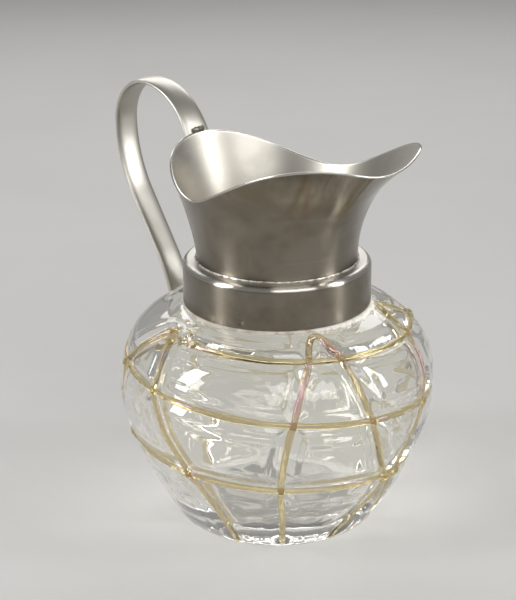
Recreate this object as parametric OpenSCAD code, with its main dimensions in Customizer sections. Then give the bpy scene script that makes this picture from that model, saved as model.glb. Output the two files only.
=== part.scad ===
// Glass water pitcher with a plated metal mount.
// A squat blown body carries one spiral glass thread and four looped upright threads.
// The mount is a drum collar set on the neck in plaster, a helmet spout soldered to it and a strap handle.
// The spout points along +X, the handle along -X, and the glass foot stands on Z = 0.

/* [Glass body] */
// Radius the side of the glass would have at the foot, without the rounded edge
foot_r = 45; // [43:0.5:47]
// Radius of the rounded edge of the foot
foot_edge = 8; // [6:0.5:10]
// Largest radius of the belly
belly_r = 73.4; // [71:0.2:75]
// Height of the largest radius
belly_z = 64; // [60:1:68]
// How late the side swells from the foot to the belly
belly_bend = 1.45; // [1.35:0.05:1.6]
// Height of the glass shoulder under the collar
shoulder_z = 106.5; // [104:0.5:109]
// How late the shoulder turns in
shoulder_bend = 3.2; // [2.8:0.1:3.6]
// How full the shoulder stays as it turns in
shoulder_full = 0.77; // [0.69:0.02:0.89]
// Thickness of the glass wall, level
wall_t = 4; // [3:0.5:5.5]
// Thickness of the glass under the cavity
base_t = 8; // [6:0.5:11]
// Radius of the rounding at the floor of the cavity
cave_round = 14; // [10:1:18]
// Thickness of the glass neck
neck_t = 3.2; // [2.5:0.1:4]

/* [Glass threads] */
// Width of a glass thread
thread_w = 3.2; // [2.6:0.1:3.6]
// Height of a glass thread above the body
thread_h = 1.7; // [1.2:0.1:2]
// Height of the top of the spiral thread, without its raised start
spiral_top = 100.2; // [97:0.1:101]
// Drop of the spiral thread, if it ran out flat
spiral_drop = 70.6; // [64:0.2:74]
// Angle over which the spiral thread would run out flat
spiral_span = 1040; // [1010:10:1080]
// Angle at which the spiral thread stops
spiral_end = 915; // [860:5:940]
// Angle at which the spiral thread starts to be laid
spiral_begin = 19; // [17:1:26]
// How much higher the spiral thread starts
spiral_rise = 1.5; // [0:0.1:2]
// Height where the upright threads stop above the foot
upright_foot_z = 2.5; // [1.5:0.5:6]

/* [Collar] */
// Width of the collar's shelf from the foot of the spout to the outside of the drum
shelf_w = 6.4; // [5.6:0.1:8]
// Height of the collar drum
collar_h = 20.7; // [18:0.1:24]
// Gap between the glass shoulder and the lower edge of the collar
collar_lift = 1.4; // [1.2:0.1:2.2]
// Sheet thickness of the collar
collar_t = 1.4; // [1:0.1:1.8]
// Radius of the rounded upper edge of the collar
collar_edge_r = 3; // [2:0.1:3.6]
// Thickness of the plaster between neck and collar
plaster_t = 2.4; // [1.5:0.1:3]

/* [Spout] */
// Outer radius of the spout at its foot
spout_r = 37.6; // [35:0.2:42]
// Sheet thickness of the spout
spout_t = 1.2; // [1:0.1:1.8]
// Height of the straight foot of the spout
foot_h = 0.5; // [0.3:0.1:2]
// Width of the solder seam round the foot of the spout
seam_w = 0.7; // [0.5:0.1:1.5]
// Reach of the rim at the handle
rim_back_r = 55; // [53:0.5:57]
// Smallest reach of the rim, at the sides
rim_side_r = 46.3; // [44.5:0.1:48.5]
// Reach of the pouring lip
rim_tip_r = 70.5; // [67:0.5:75]
// Height of the rim above the collar at the handle
rim_back_h = 49; // [46:0.5:54]
// Height of the rim above the collar at its lowest point on the sides
rim_side_h = 34; // [30:0.5:38]
// Height of the rim above the collar at the cheeks of the lip
rim_cheek_h = 58.6; // [56:0.1:62]
// Height of the rim above the collar at the tip of the lip
rim_tip_h = 53.7; // [50:0.1:58]
// Angle of the lowest point of the rim from the lip
rim_side_a = 103; // [96:1:108]
// Angle of the cheeks from the lip
rim_cheek_a = 28; // [24:1:34]
// How far the hand-worked lip is twisted: one cheek up, the other down
lip_twist = 1.6; // [0:0.1:2.5]
// How late the wall flares out at the handle
flare_back = 1.35; // [1.2:0.05:1.6]
// How late the wall flares out under the lip
flare_lip = 2.2; // [1.8:0.1:2.6]

/* [Handle] */
// Width of the handle strap
strap_w = 13.5; // [11:0.5:15]
// Thickness of the handle strap
strap_t = 3; // [2.4:0.1:3.6]
// Length of strap that lies on the back of the spout
lap_l = 6; // [5:0.5:9]
// Radius of the rising side of the bow
bow_rise_r = 34; // [31:0.5:37]
// Radius of the falling side of the bow
bow_fall_r = 23; // [21.5:0.5:24.5]
// Radius of the grip under the bow
grip_r = 62; // [58:1:66]
// Turn of the grip
grip_turn = 35; // [32:0.5:37]
// Length of the straight run of the handle
run_l = 32; // [29:0.5:35]
// Radius of the tail as it nears the glass
tail_r = 70; // [62:1:80]
// Turn of the tail
tail_turn = 19; // [17:0.5:23]
// Radius of the solder bead between strap and rim
solder_r = 1; // [0.7:0.1:1.4]
// Width of the solder bead
solder_w = 9; // [6:0.5:10.5]

/* [Hidden] */
// Clearance between pieces that touch
clear = 0.08;
// Fineness of turned pieces
$fn = 120;
// How far the glass shoulder shows past the collar
glass_show = 0.2;
// Rounding of the glass where the neck leaves the shoulder and at its top edge
neck_round = 0.8;
neck_root = 1.3;
// Share of the seam's width that stands square at its two edges
seam_edge = 0.25;
// Share of the sheet thickness by which the rim is rounded up
rim_round = 0.35;
// Angle the strap is turned in from the slope of the spout at the rim
lap_lean = 0.6;
// Straight stretch at the end of the tail, before it is cut to the glass
tail_run = 14;
// Angle from which the turns of the spiral thread are counted
spiral_a0 = -107;
// Extra space under an upright thread where it crosses the spiral, and reach of that lift
over_gap = 0.35;
over_w = 0.9 * thread_w;
over_ends = 6;
// How far below the shoulder the loops of the upright threads stop
loop_drop = 1;
// Angle over which the raised start of the spiral thread settles
rise_turn = 60;
// Angle between neighbouring points of the spiral thread
spiral_step = 5;
collar_r = spout_r + shelf_w;
collar_z = shoulder_z + collar_lift;
collar_top = collar_z + collar_h;
collar_in_r = collar_r - collar_t;
neck_r = collar_in_r - plaster_t - 2 * clear;
neck_in_r = neck_r - neck_t;
neck_top = collar_top - collar_t - 3 * clear;
glass_edge_r = collar_r + glass_show;
foot_z = collar_top + clear;
flare_z = foot_z + foot_h;

// Cosine ease from 0 to 1
function ease(t) = (1 - cos(180 * t)) / 2;

// Radius of the side of the glass at a height below the shoulder
function side_low(z) = belly_r - (belly_r - foot_r) * pow(1 - z / belly_z, belly_bend);
function side_v(z) = min(1, (z - belly_z) / (shoulder_z - belly_z));
function side_high(z) = glass_edge_r
    + (belly_r - glass_edge_r) * pow(max(0, 1 - pow(side_v(z), shoulder_bend)), shoulder_full);
function side_r(z) = z < belly_z ? side_low(z) : side_high(z);

// The rounded edge of the foot runs into the side without a corner
dz = 0.05;
foot_lean = atan((side_r(foot_edge + dz) - side_r(foot_edge - dz)) / (2 * dz));
round_z = foot_edge * (1 - sin(foot_lean));
rest_r = side_r(round_z) - foot_edge * cos(foot_lean);
function round_r(z) = rest_r + sqrt(max(0, pow(foot_edge, 2) - pow(foot_edge - z, 2)));
function body_r(z) = z < round_z ? round_r(z) : side_r(z);

// Inner radius of the glass cavity
cave_top = shoulder_z - wall_t;
function cave_v(z) = min(1, (z - belly_z) / (cave_top - belly_z));
function cave_high(z) = neck_in_r
    + (belly_r - wall_t - neck_in_r) * pow(max(0, 1 - pow(cave_v(z), shoulder_bend)), shoulder_full);
function cave_u(z) = max(0, base_t + cave_round - z) / cave_round;
function cave_low(z) = side_low(z) - wall_t - cave_round * (1 - sqrt(max(0, 1 - pow(cave_u(z), 2))));
function cave_r(z) = z < belly_z ? cave_low(z) : cave_high(z);

// Unit normal of the glass at an angle and height
function body_slope(z) = (body_r(z + dz) - body_r(z - dz)) / (2 * dz);
function body_n(a, z) =
    let (s = body_slope(z), l = sqrt(1 + s * s))
    [cos(a) / l, sin(a) / l, -s / l];
function body_p(a, z) = [body_r(z) * cos(a), body_r(z) * sin(a), z];

// Height of the spiral thread after turning by an angle
function spiral_z(t) = spiral_top - spiral_drop * ease(t / spiral_span)
    + spiral_rise * exp(-pow(t / rise_turn, 2));

// Lift that carries an upright thread over the spiral thread
over_h = thread_h + over_gap;
function spiral_turn(a, k) = a - spiral_a0 + 360 * k;
function spiral_gap(a, z) = min([for (k = [-1 : 3])
    let (t = spiral_turn(a, k))
    if (t > spiral_begin - over_ends && t < spiral_end + over_ends) abs(z - spiral_z(t)), shoulder_z]);
function thread_lift(a, z) =
    let (d = spiral_gap(a, z) * sqrt(1 + pow(body_slope(z), 2)))
    over_h * exp(-pow(d / over_w, 2));

// Smooth curve through points, with steps between neighbours
function smooth_at(p, q, r, s, t) = q + 0.5 * t * ((r - p)
    + t * ((2 * p - 5 * q + 4 * r - s) + t * (3 * (q - r) + s - p)));
function smooth(c, steps) = [for (i = [0 : len(c) - 2], j = [0 : steps - 1])
    smooth_at(c[max(0, i - 1)], c[i], c[i + 1], c[min(len(c) - 1, i + 2)], j / steps), c[len(c) - 1]];

function unit(v) = v / norm(v);

// Closed strip of rings: sides and both ends
function strip_faces(rings, per) = concat(
    [[for (i = [0 : per - 1]) i]],
    [for (k = [0 : rings - 2], i = [0 : per - 1])
        let (n = (i + 1) % per)
        each [[k * per + i, (k + 1) * per + i, (k + 1) * per + n],
              [k * per + i, (k + 1) * per + n, k * per + n]]],
    [[for (i = [per - 1 : -1 : 0]) (rings - 1) * per + i]]);

// Half-round thread laid along angles and heights on the glass, lifted by the third value
thread_arc = [0 : 36 : 180];
module laid_thread(way) {
    last = len(way) - 1;
    pts = [for (i = [0 : last])
        let (a = way[i][0], z = way[i][1])
        let (n = body_n(a, z), p = body_p(a, z))
        let (f = way[min(last, i + 1)], b = way[max(0, i - 1)])
        let (t = unit(body_p(f[0], f[1]) - body_p(b[0], b[1])), s = unit(cross(n, t)))
        for (u = thread_arc)
            p + n * (clear + way[i][2] + thread_h * sin(u)) + s * (thread_w / 2 * cos(u))];
    polyhedron(pts, strip_faces(last + 1, 6), convexity = 10);
}

// The four looped upright threads: angle, and height in per cent of the shoulder's, of points along each
loop_a = [[-66, 0], [-70, 16.5], [-75, 31.5], [-82, 46.5], [-88, 59.5], [-93, 73], [-94, 84], [-97, 92.5],
    [-102, 96], [-108, 92.5], [-115, 85], [-121, 73], [-122, 56], [-119, 37], [-115, 18.5], [-111, 0]];
loop_b = [[-40, 0], [-40.5, 19], [-41.5, 35.5], [-40.5, 51.5], [-38, 67.5], [-34.5, 81.5], [-30.5, 91],
    [-27.5, 97], [-24.5, 99], [-20.5, 99.5], [-18, 97.5], [-16, 94], [-13, 88], [-10, 76.5], [-6.5, 63.5],
    [-1.5, 48.5], [4.5, 37], [8, 28.5], [-2, 15.5], [-12, 0]];
loop_c = [[27, 0], [20, 12.5], [15, 26], [14, 39], [18, 52], [23, 63.5], [27, 74.5], [29, 85],
    [30.5, 92], [33.5, 96], [39, 98.8], [46, 98.8], [53, 95], [60, 88], [65, 79], [69, 67], [72, 50],
    [73, 33.5], [71, 14.5], [69, 0]];
loop_d = [[121, 0], [126, 16.5], [130, 35], [133, 52], [136, 69], [140, 84], [147, 93.5], [155, 96],
    [163, 92.5], [169, 82], [172, 67], [175, 50], [179, 33.5], [183, 16.5], [187, 0]];
module upright(c) {
    top_z = shoulder_z - loop_drop;
    way = smooth([for (p = c) [p[0], max(upright_foot_z, min(shoulder_z * p[1] / 100, top_z))]], 8);
    laid_thread([for (p = way) [p[0], p[1], thread_lift(p[0], p[1])]]);
}

// The blown glass: foot, belly, shoulder and the neck inside the collar
module glass_body() {
    edge = [for (i = [0 : 6]) let (u = -90 + (90 - foot_lean) * i / 6)
        [rest_r + foot_edge * cos(u), foot_edge * (1 + sin(u))]];
    rise = shoulder_z - clear / 4 - round_z;
    side = [for (i = [1 : 46]) let (z = round_z + rise * i / 46) [side_r(z), z]];
    neck = [[neck_r + neck_round, shoulder_z + neck_root / 3], [neck_r, shoulder_z + neck_root],
        [neck_r, neck_top - neck_round], [neck_r - neck_round, neck_top], [neck_in_r + neck_round, neck_top],
        [neck_in_r, neck_top - neck_round]];
    cave = [for (i = [0 : 46]) let (z = cave_top - (cave_top - base_t) * i / 46) [cave_r(z), z]];
    color("#dfe6df", 0.35) rotate_extrude()
        polygon(concat([[0, 0]], edge, side, neck, cave, [[0, base_t]]));
}

// One thread wound round the body from the shoulder down to the lower belly
module spiral_thread() {
    turns = [spiral_begin : spiral_step : spiral_end];
    color("#b98a3c") laid_thread([for (t = turns) [spiral_a0 + t, spiral_z(t), 0]]);
}

module upright_thread_a() {
    color("#b98a3c") upright(loop_a);
}

module upright_thread_b() {
    color("#b98a3c") upright(loop_b);
}

module upright_thread_c() {
    color("#b98a3c") upright(loop_c);
}

module upright_thread_d() {
    color("#b98a3c") upright(loop_d);
}

// Plaster that holds the collar on the glass neck and shows under the collar edge
module plaster_bed() {
    in_r = neck_r + clear;
    out_r = collar_in_r - clear;
    lip_r = glass_edge_r + clear;
    lip_z = shoulder_z + 2 * clear;
    root_z = shoulder_z + neck_root / 3 + 2 * clear;
    top_z = min(neck_top - neck_round, collar_top - collar_edge_r);
    color("#ece8dd") rotate_extrude()
        polygon([[in_r, shoulder_z + neck_root + clear], [in_r + neck_round, root_z], [lip_r, lip_z],
            [lip_r, collar_z - clear], [out_r, collar_z - clear], [out_r, top_z], [in_r, top_z]]);
}

// Drum with a rounded upper edge and a flat top that the spout stands on
module collar() {
    e = collar_edge_r;
    inner_e = e - collar_t;
    hole_r = spout_r - spout_t - 2 * clear;
    function edge_p(a, r) = [collar_r - e + r * cos(a), collar_top - e + r * sin(a)];
    color("#8f8b84") rotate_extrude()
        polygon(concat([[collar_in_r, collar_z], [collar_r, collar_z]],
            [for (a = [0 : 10 : 90]) edge_p(a, e)],
            [[hole_r, collar_top], [hole_r, collar_top - collar_t]],
            [for (a = [90 : -15 : 0]) edge_p(a, inner_e)]));
}

// Hollow fillet of solder on the collar round the foot of the spout
module spout_seam() {
    in_r = spout_r + 2 * clear;
    edge = seam_w * seam_edge;
    hollow = seam_w - edge;
    fillet = [for (a = [270 : -15 : 180])
        [in_r + seam_w + hollow * cos(a), foot_z + seam_w + hollow * sin(a)]];
    color("#b4b0a8") rotate_extrude()
        polygon(concat([[in_r, foot_z], [in_r + seam_w, foot_z]], fillet, [[in_r, foot_z + seam_w]]));
}

// Rim of the spout by angle from the lip: reach and height
function mix(a, b, t) = a + (b - a) * ease(t);
function fold(a) = abs(a > 180 ? a - 360 : a);
lip_flat = 6;
waist_a = rim_side_a + 4;
function rim_r_at(b) = b < waist_a
    ? mix(rim_tip_r, rim_side_r, max(0, b - lip_flat) / (waist_a - lip_flat))
    : mix(rim_side_r, rim_back_r, (b - waist_a) / (180 - waist_a));
function rim_h_at(b) = b < rim_cheek_a ? mix(rim_tip_h, rim_cheek_h, b / rim_cheek_a)
    : b < rim_side_a ? mix(rim_cheek_h, rim_side_h, (b - rim_cheek_a) / (rim_side_a - rim_cheek_a))
    : mix(rim_side_h, rim_back_h, (b - rim_side_a) / (180 - rim_side_a));
function flare_at(b) = flare_back + (flare_lip - flare_back) * (1 + cos(b)) / 2;

// Point of the spout wall at an angle and a share of its height, set in by some thickness
function wall_p(a, s, inset) =
    let (b = fold(a), z1 = collar_top + rim_h_at(b) - lip_twist * sin(a) * (1 + cos(a)) / 2)
    let (r = spout_r + (rim_r_at(b) - spout_r) * pow(s, flare_at(b)) - inset)
    [r * cos(a), r * sin(a), flare_z + (z1 - flare_z) * s];

// Sheet-metal spout: a short straight foot, then a wall that flares to the wavy rim
module spout() {
    around = 80;
    up = 12;
    step = 360 / around;
    function low(a, inset) = [(spout_r - inset) * cos(a), (spout_r - inset) * sin(a), foot_z];
    rows = concat(
        [for (i = [0 : around - 1]) low(i * step, spout_t)],
        [for (i = [0 : around - 1]) low(i * step, 0)],
        [for (j = [0 : up], i = [0 : around - 1]) wall_p(i * step, j / up, 0)],
        [for (i = [0 : around - 1]) wall_p(i * step, 1, spout_t / 2) + [0, 0, spout_t * rim_round]],
        [for (j = [up : -1 : 0], i = [0 : around - 1]) wall_p(i * step, j / up, spout_t)]);
    loops = len(rows) / around;
    faces = [for (k = [0 : loops - 1], i = [0 : around - 1])
        let (n = (i + 1) % around, m = (k + 1) % loops)
        each [[k * around + i, m * around + n, k * around + n],
              [k * around + i, m * around + i, m * around + n]]];
    color("#a3a09a") polyhedron(rows, faces, convexity = 10);
}

// Handle path in the XZ plane, walked as arcs: turn, radius, step; a zero radius is a straight run
function walk_arc(p, h, turn, r, n) =
    let (s = turn > 0 ? 1 : -1)
    let (c = p + s * r * [-sin(h), cos(h)])
    [for (i = [1 : n]) let (a = h + turn * i / n) [c[0] + s * r * sin(a), c[1] - s * r * cos(a), a]];
function walk_run(p, h, l, n) = [for (i = [1 : n])
    [p[0] + cos(h) * l * i / n, p[1] + sin(h) * l * i / n, h]];
function last2(v) = [v[len(v) - 1][0], v[len(v) - 1][1]];

// The strap leaves the spout along the slope of its back
back_z = collar_top + rim_back_h;
back_slope = flare_back * (rim_back_r - spout_r) / (back_z - flare_z);
lap_h = 90 + atan(back_slope) - lap_lean;
lap_top = [-rim_back_r - strap_t / 2 / sin(lap_h) - clear, back_z];
lap_low = lap_top - lap_l * [cos(lap_h), sin(lap_h)];
function handle_path(lean) =
    let (lap = concat([[lap_low[0], lap_low[1], lap_h]], walk_run(lap_low, lap_h, lap_l, 3)))
    let (top_h = 180 + lean, down_h = top_h + 90, run_h = down_h + grip_turn)
    let (rise = walk_arc(last2(lap), lap_h, top_h - lap_h, bow_rise_r, 12))
    let (fall = walk_arc(last2(rise), top_h, down_h - top_h, bow_fall_r, 14))
    let (grip = walk_arc(last2(fall), down_h, grip_turn, grip_r, 8))
    let (run = walk_run(last2(grip), run_h, run_l, 5))
    let (tail = walk_arc(last2(run), run_h, -tail_turn, tail_r, 24))
    let (end = walk_run(last2(tail), run_h - tail_turn, tail_run, 28))
    concat(lap, rise, fall, grip, run, tail, end);

// The tail stops above the spiral thread, and the bow leans so far that the tail meets the glass there
tail_floor = spiral_z(180 - spiral_a0) + thread_w / 2 + strap_t / 2;
tail_gap = 4 * clear;
most_lean = 20;
function off_glass(p) = p[1] > shoulder_z ? strap_w : -p[0] - strap_t / 2 / abs(sin(p[2])) - body_r(p[1]);
function least_gap(lean) = min([for (p = handle_path(lean)) if (p[1] > tail_floor) off_glass(p)]);
function fit_lean(low, high, tries) =
    let (mid = (low + high) / 2)
    tries == 0 ? mid
    : least_gap(mid) > tail_gap ? fit_lean(mid, high, tries - 1) : fit_lean(low, mid, tries - 1);
bow_lean = fit_lean(-most_lean, most_lean, 20);
handle_way = [for (p = handle_path(bow_lean)) if (off_glass(p) > 2 * clear && p[1] > tail_floor) p];

// Bent strap with softly rounded faces and edges
module handle() {
    per = 14;
    n = len(handle_way);
    bulge = 0.75;
    function lobe(v) = sign(v) * pow(abs(v), bulge);
    pts = [for (p = handle_way, i = [0 : per - 1])
        let (u = 360 * (i + 0.5) / per)
        let (y = strap_w / 2 * lobe(cos(u)), t = strap_t / 2 * lobe(sin(u)))
        [p[0] - sin(p[2]) * t, y, p[1] + cos(p[2]) * t]];
    color("#96928a") polyhedron(pts, strip_faces(n, per), convexity = 10);
}

// Bead of solder in the corner between the strap and the rim
module handle_solder() {
    x = -rim_back_r + solder_r / 4 + 2 * clear;
    z = back_z + spout_t * rim_round + solder_r + clear;
    color("#6f6b64") translate([x, 0, z]) rotate([90, 0, 0])
        cylinder(h = solder_w, r = solder_r, center = true, $fn = 32);
}

glass_body();
spiral_thread();
upright_thread_a();
upright_thread_b();
upright_thread_c();
upright_thread_d();
plaster_bed();
collar();
spout_seam();
spout();
handle();
handle_solder();
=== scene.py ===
"""Dresses the packed glass pitcher: blown glass, amber threads and a worn plated mount on a pale floor."""

import math

import bmesh
import bpy
import numpy as np
from mathutils import Matrix, Vector, kdtree, noise


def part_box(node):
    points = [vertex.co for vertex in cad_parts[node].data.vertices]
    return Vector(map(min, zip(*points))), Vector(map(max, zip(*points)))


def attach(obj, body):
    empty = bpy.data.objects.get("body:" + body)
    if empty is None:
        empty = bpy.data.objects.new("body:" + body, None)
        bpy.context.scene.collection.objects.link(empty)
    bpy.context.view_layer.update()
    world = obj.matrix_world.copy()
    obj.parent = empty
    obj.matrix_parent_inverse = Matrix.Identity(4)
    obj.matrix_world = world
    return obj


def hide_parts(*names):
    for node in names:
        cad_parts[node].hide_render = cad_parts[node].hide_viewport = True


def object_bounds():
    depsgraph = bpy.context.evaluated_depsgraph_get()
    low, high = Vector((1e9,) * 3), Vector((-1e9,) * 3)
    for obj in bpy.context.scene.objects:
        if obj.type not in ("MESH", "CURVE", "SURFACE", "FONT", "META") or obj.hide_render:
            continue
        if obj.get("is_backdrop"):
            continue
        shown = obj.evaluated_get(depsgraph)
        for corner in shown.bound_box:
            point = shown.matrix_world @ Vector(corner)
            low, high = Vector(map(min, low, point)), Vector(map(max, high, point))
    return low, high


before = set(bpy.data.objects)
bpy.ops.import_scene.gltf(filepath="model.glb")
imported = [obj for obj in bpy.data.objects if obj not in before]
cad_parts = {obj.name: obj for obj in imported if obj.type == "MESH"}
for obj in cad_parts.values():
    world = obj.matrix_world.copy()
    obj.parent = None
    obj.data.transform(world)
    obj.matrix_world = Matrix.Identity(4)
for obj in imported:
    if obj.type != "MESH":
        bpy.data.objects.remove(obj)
CAD_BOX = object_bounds()

bl_info = {
    "name": "Glass pitcher with a plated mount",
    "version": (1, 0, 0),
    "blender": (4, 5, 0),
    "location": "View3D > Sidebar > Pitcher",
    "description": "Builds the glass, threads, plaster and plated mount of a water pitcher",
    "category": "Add Mesh",
}

MM = 0.001
FULL_TURN = 2 * math.pi
COLLAR_LOW, COLLAR_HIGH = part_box("collar")
SEAM_LOW, SEAM_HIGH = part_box("spout_seam")
SOLDER_LOW, SOLDER_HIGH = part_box("handle_solder")
PLASTER_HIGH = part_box("plaster_bed")[1]
NECK_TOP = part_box("glass_body")[1].z
SPOUT_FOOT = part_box("spout")[0].z
STRAP_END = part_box("handle")[0].z

# Factors that spread a seed over three axes, so that each noise comes from a place of its own
SEED_SHIFT = (7.31, 3.17, 5.53)

# Steps along the threads: angle between steps of the spiral, and steps between the points of a loop
SPIRAL_STEP = math.radians(1.5)
LOOP_STEPS = 20

# Cushions: share of a thread's width where they begin, how round they rise, and reaches to their second step
CUSHION_BEGIN = 0.3
CUSHION_ROUND = 1.3
STEP_BEGIN = 1.9

# Grains: height and scale of their knobs, their proportions, and the range of their seeds
GRAIN_KNOB = 0.45
GRAIN_SCALE = 1.3
GRAIN_FORM = (1.0, 0.85, 0.6)
GRAIN_SEEDS = (0, 40)

# Light that has bounced more often than this passes straight through the glass, so that its edges stay clear
MOST_BOUNCES = 4.5

# Sockets of the Mix node that carry colours: two inputs and the output
MIX_A = 6
MIX_B = 7
MIX_RESULT = 2

# Scale of the scratches against the rubbed lines, and of the specks against the clouds
SCRATCH_SCALE = 0.37
SPECK_SCALE = 9.0

# Noise at which clouds start when they cover nothing, and the width of their soft edge
CLOUD_START = 0.85
CLOUD_EDGE = 0.3

# Stretch of the coordinates for level lines round the axis, and for lines along the strap
LEVEL_STRETCH = (14.0, 14.0, 1500.0)
STRAP_STRETCH = (20.0, 1300.0, 1300.0)

# Roughness of the plate where it is polished, rubbed level and satin
POLISHED = 0.08
RUBBED = 0.215
SATIN = 0.36

# Shares by which effects dull the plate, brighten it, roughen it and raise it
CLOUDS_DULL = 0.7
RECESS_DULLS = 0.6
SPECKS_DULL = 0.5
WEAR_AND_LIGHT_BRIGHTEN = 0.75
SCRATCH_BRIGHTENS = 0.06
LINES_ROUGHEN = 0.04
DULL_ROUGHENS = 0.05
LINES_RAISE = 0.5
SPECKS_RAISE = 0.5

# Share of the clouds in the lustre of the threads and in the stains of the plaster
CLOUDS_TINT = 0.6

# Brightness of the floor's mottling against the floor
FLOOR_MOTTLE = 0.97

# Softboxes: name, direction in degrees, level distance, height, width, height of the box and power
SOFTBOXES = (
    ("lamp_left", -115, 1.15, 0.7, 0.25, 0.9, 12.5),
    ("lamp_right", 36, 1.25, 0.65, 0.25, 0.9, 10.0),
    ("lamp_front", -20, 1.05, 0.92, 1.1, 0.45, 7.0),
    ("lamp_back", 140, 1.1, 0.8, 1.2, 0.5, 6.0),
)

# Angle in degrees, and height in per cent of the shoulder's, of points along each looped thread
LOOPS = {
    "upright_thread_a": (
        (-66, 0), (-70, 16.5), (-75, 31.5), (-82, 46.5), (-88, 59.5), (-93, 73), (-94, 84), (-97, 92.5),
        (-102, 96), (-108, 92.5), (-115, 85), (-121, 73), (-122, 56), (-119, 37), (-115, 18.5), (-111, 0)),
    "upright_thread_b": (
        (-40, 0), (-40.5, 19), (-41.5, 35.5), (-40.5, 51.5), (-38, 67.5), (-34.5, 81.5), (-30.5, 91),
        (-27.5, 97), (-24.5, 99), (-20.5, 99.5), (-18, 97.5), (-16, 94), (-13, 88), (-10, 76.5),
        (-6.5, 63.5), (-1.5, 48.5), (4.5, 37), (8, 28.5), (-2, 15.5), (-12, 0)),
    "upright_thread_c": (
        (27, 0), (20, 12.5), (15, 26), (14, 39), (18, 52), (23, 63.5), (27, 74.5), (29, 85), (30.5, 92),
        (33.5, 96), (39, 98.8), (46, 98.8), (53, 95), (60, 88), (65, 79), (69, 67), (72, 50), (73, 33.5),
        (71, 14.5), (69, 0)),
    "upright_thread_d": (
        (121, 0), (126, 16.5), (130, 35), (133, 52), (136, 69), (140, 84), (147, 93.5), (155, 96),
        (163, 92.5), (169, 82), (172, 67), (175, 50), (179, 33.5), (183, 16.5), (187, 0)),
}

# Thick spots of the threads: angle in degrees, height in per cent, reach and share of extra thickness
THICK_SPOTS = {
    "spiral_thread": ((-87, 95.5, 5 * MM, 0.7),),
    "upright_thread_a": ((-101, 95, 9 * MM, 0.5), (-94, 90, 4 * MM, 0.5)),
    "upright_thread_b": ((-17.5, 96.5, 6 * MM, 0.7),),
    "upright_thread_c": ((33, 95, 6 * MM, 0.25),),
    "upright_thread_d": ((155, 95, 8 * MM, 0.3),),
}

# Stretches of the threads with a painted pink highlight: angle in degrees, height in per cent and reach
PAINTED_PINK_HIGHLIGHTS = {
    "upright_thread_b": ((-35, 81, 12 * MM), (-17, 95, 6 * MM)),
    "upright_thread_c": ((28, 80, 10 * MM),),
}

# Knots of melted glass on the threads: angle in degrees, height in per cent, spread and number of lumps
KNOTS = {"upright_thread_a": (-97, 96, 4.5 * MM, 18)}


def length(name, description, default):
    """A property that holds a length, written in metres."""
    return bpy.props.FloatProperty(
        name=name, description=description, default=default, min=0.0, precision=5, unit="LENGTH")


def number(name, description, default):
    """A property that holds a plain number."""
    return bpy.props.FloatProperty(name=name, description=description, default=default, precision=3)


def turn(name, description, degrees):
    """A property that holds an angle."""
    return bpy.props.FloatProperty(
        name=name, description=description, default=math.radians(degrees), subtype="ANGLE", unit="ROTATION")


def colour(name, description, default):
    """A property that holds a linear colour."""
    return bpy.props.FloatVectorProperty(
        name=name, description=description, default=default, size=3, min=0.0, max=1.0, subtype="COLOR")


class PitcherGlass(bpy.types.PropertyGroup):
    """Sizes of the blown glass and its threads"""

    foot_r: length("Foot radius", "Radius that the side would have at the foot", 45 * MM)
    foot_edge: length("Foot edge", "Radius of the rounded edge of the foot", 8 * MM)
    belly_r: length("Belly radius", "Largest radius of the glass", 73.4 * MM)
    belly_z: length("Belly height", "Height of the largest radius", 64 * MM)
    belly_bend: number("Belly bend", "How late the side swells to the belly", 1.45)
    shoulder_z: length("Shoulder height", "Height of the glass under the collar", 106.5 * MM)
    shoulder_bend: number("Shoulder bend", "How late the shoulder turns in", 3.2)
    shoulder_full: number("Shoulder fullness", "How full the shoulder stays as it turns in", 0.77)
    edge_r: length("Shoulder edge", "Radius of the glass where it meets the plaster", 44.2 * MM)
    wall_t: length("Wall", "Thickness of the glass wall", 4 * MM)
    base_t: length("Base", "Thickness of the glass under the cavity", 8 * MM)
    cave_round: length("Cavity rounding", "Radius at the floor of the cavity", 14 * MM)
    neck_r: length("Neck radius", "Outer radius of the neck inside the collar", 40.04 * MM)
    neck_t: length("Neck wall", "Thickness of the neck", 3.2 * MM)
    neck_round: length("Neck rounding", "Rounding of the upper edge of the neck", 0.8 * MM)
    thread_w: length("Thread width", "Width of a glass thread", 3.2 * MM)
    thread_h: length("Thread height", "Height of a glass thread above the glass", 1.7 * MM)
    over_gap: length("Crossing gap", "Extra lift where an upright thread crosses the spiral", 0.1 * MM)
    spiral_top: length("Spiral top", "Height of the top of the spiral, without its raised start", 100.2 * MM)
    spiral_drop: length("Spiral drop", "Drop of the spiral thread if it ran out flat", 70.6 * MM)
    spiral_span: turn("Spiral span", "Angle over which the spiral would run out flat", 1040)
    spiral_rise: length("Spiral rise", "How much higher the spiral starts", 1.5 * MM)
    rise_turn: turn("Rise turn", "Angle over which the raised start settles", 60)
    spiral_begin: turn("Spiral begin", "Angle at which the spiral starts", 19)
    spiral_end: turn("Spiral end", "Angle at which the spiral stops", 915)
    spiral_zero: turn("Spiral zero", "Angle from which the turns are counted", -107)
    upright_foot_z: length("Upright foot", "Height where the upright threads stop above the foot", 2.5 * MM)
    loop_drop: length("Loop drop", "How far below the shoulder the loops stop", 1 * MM)
    cushion_sink: length("Cushion sink", "Depth of the valley that a thread lies in", 1.2 * MM)
    cushion_rise: length("Cushion rise", "Height of the cushions between the threads", 0.8 * MM)
    cushion_reach: length("Cushion reach", "Distance over which a cushion rises from a thread", 4.4 * MM)
    cushion_step: length("Cushion step", "Height of the faint second step of a cushion", 0.35 * MM)
    step_reach: length("Step reach", "Distance over which the second step rises", 2.2 * MM)


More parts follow.
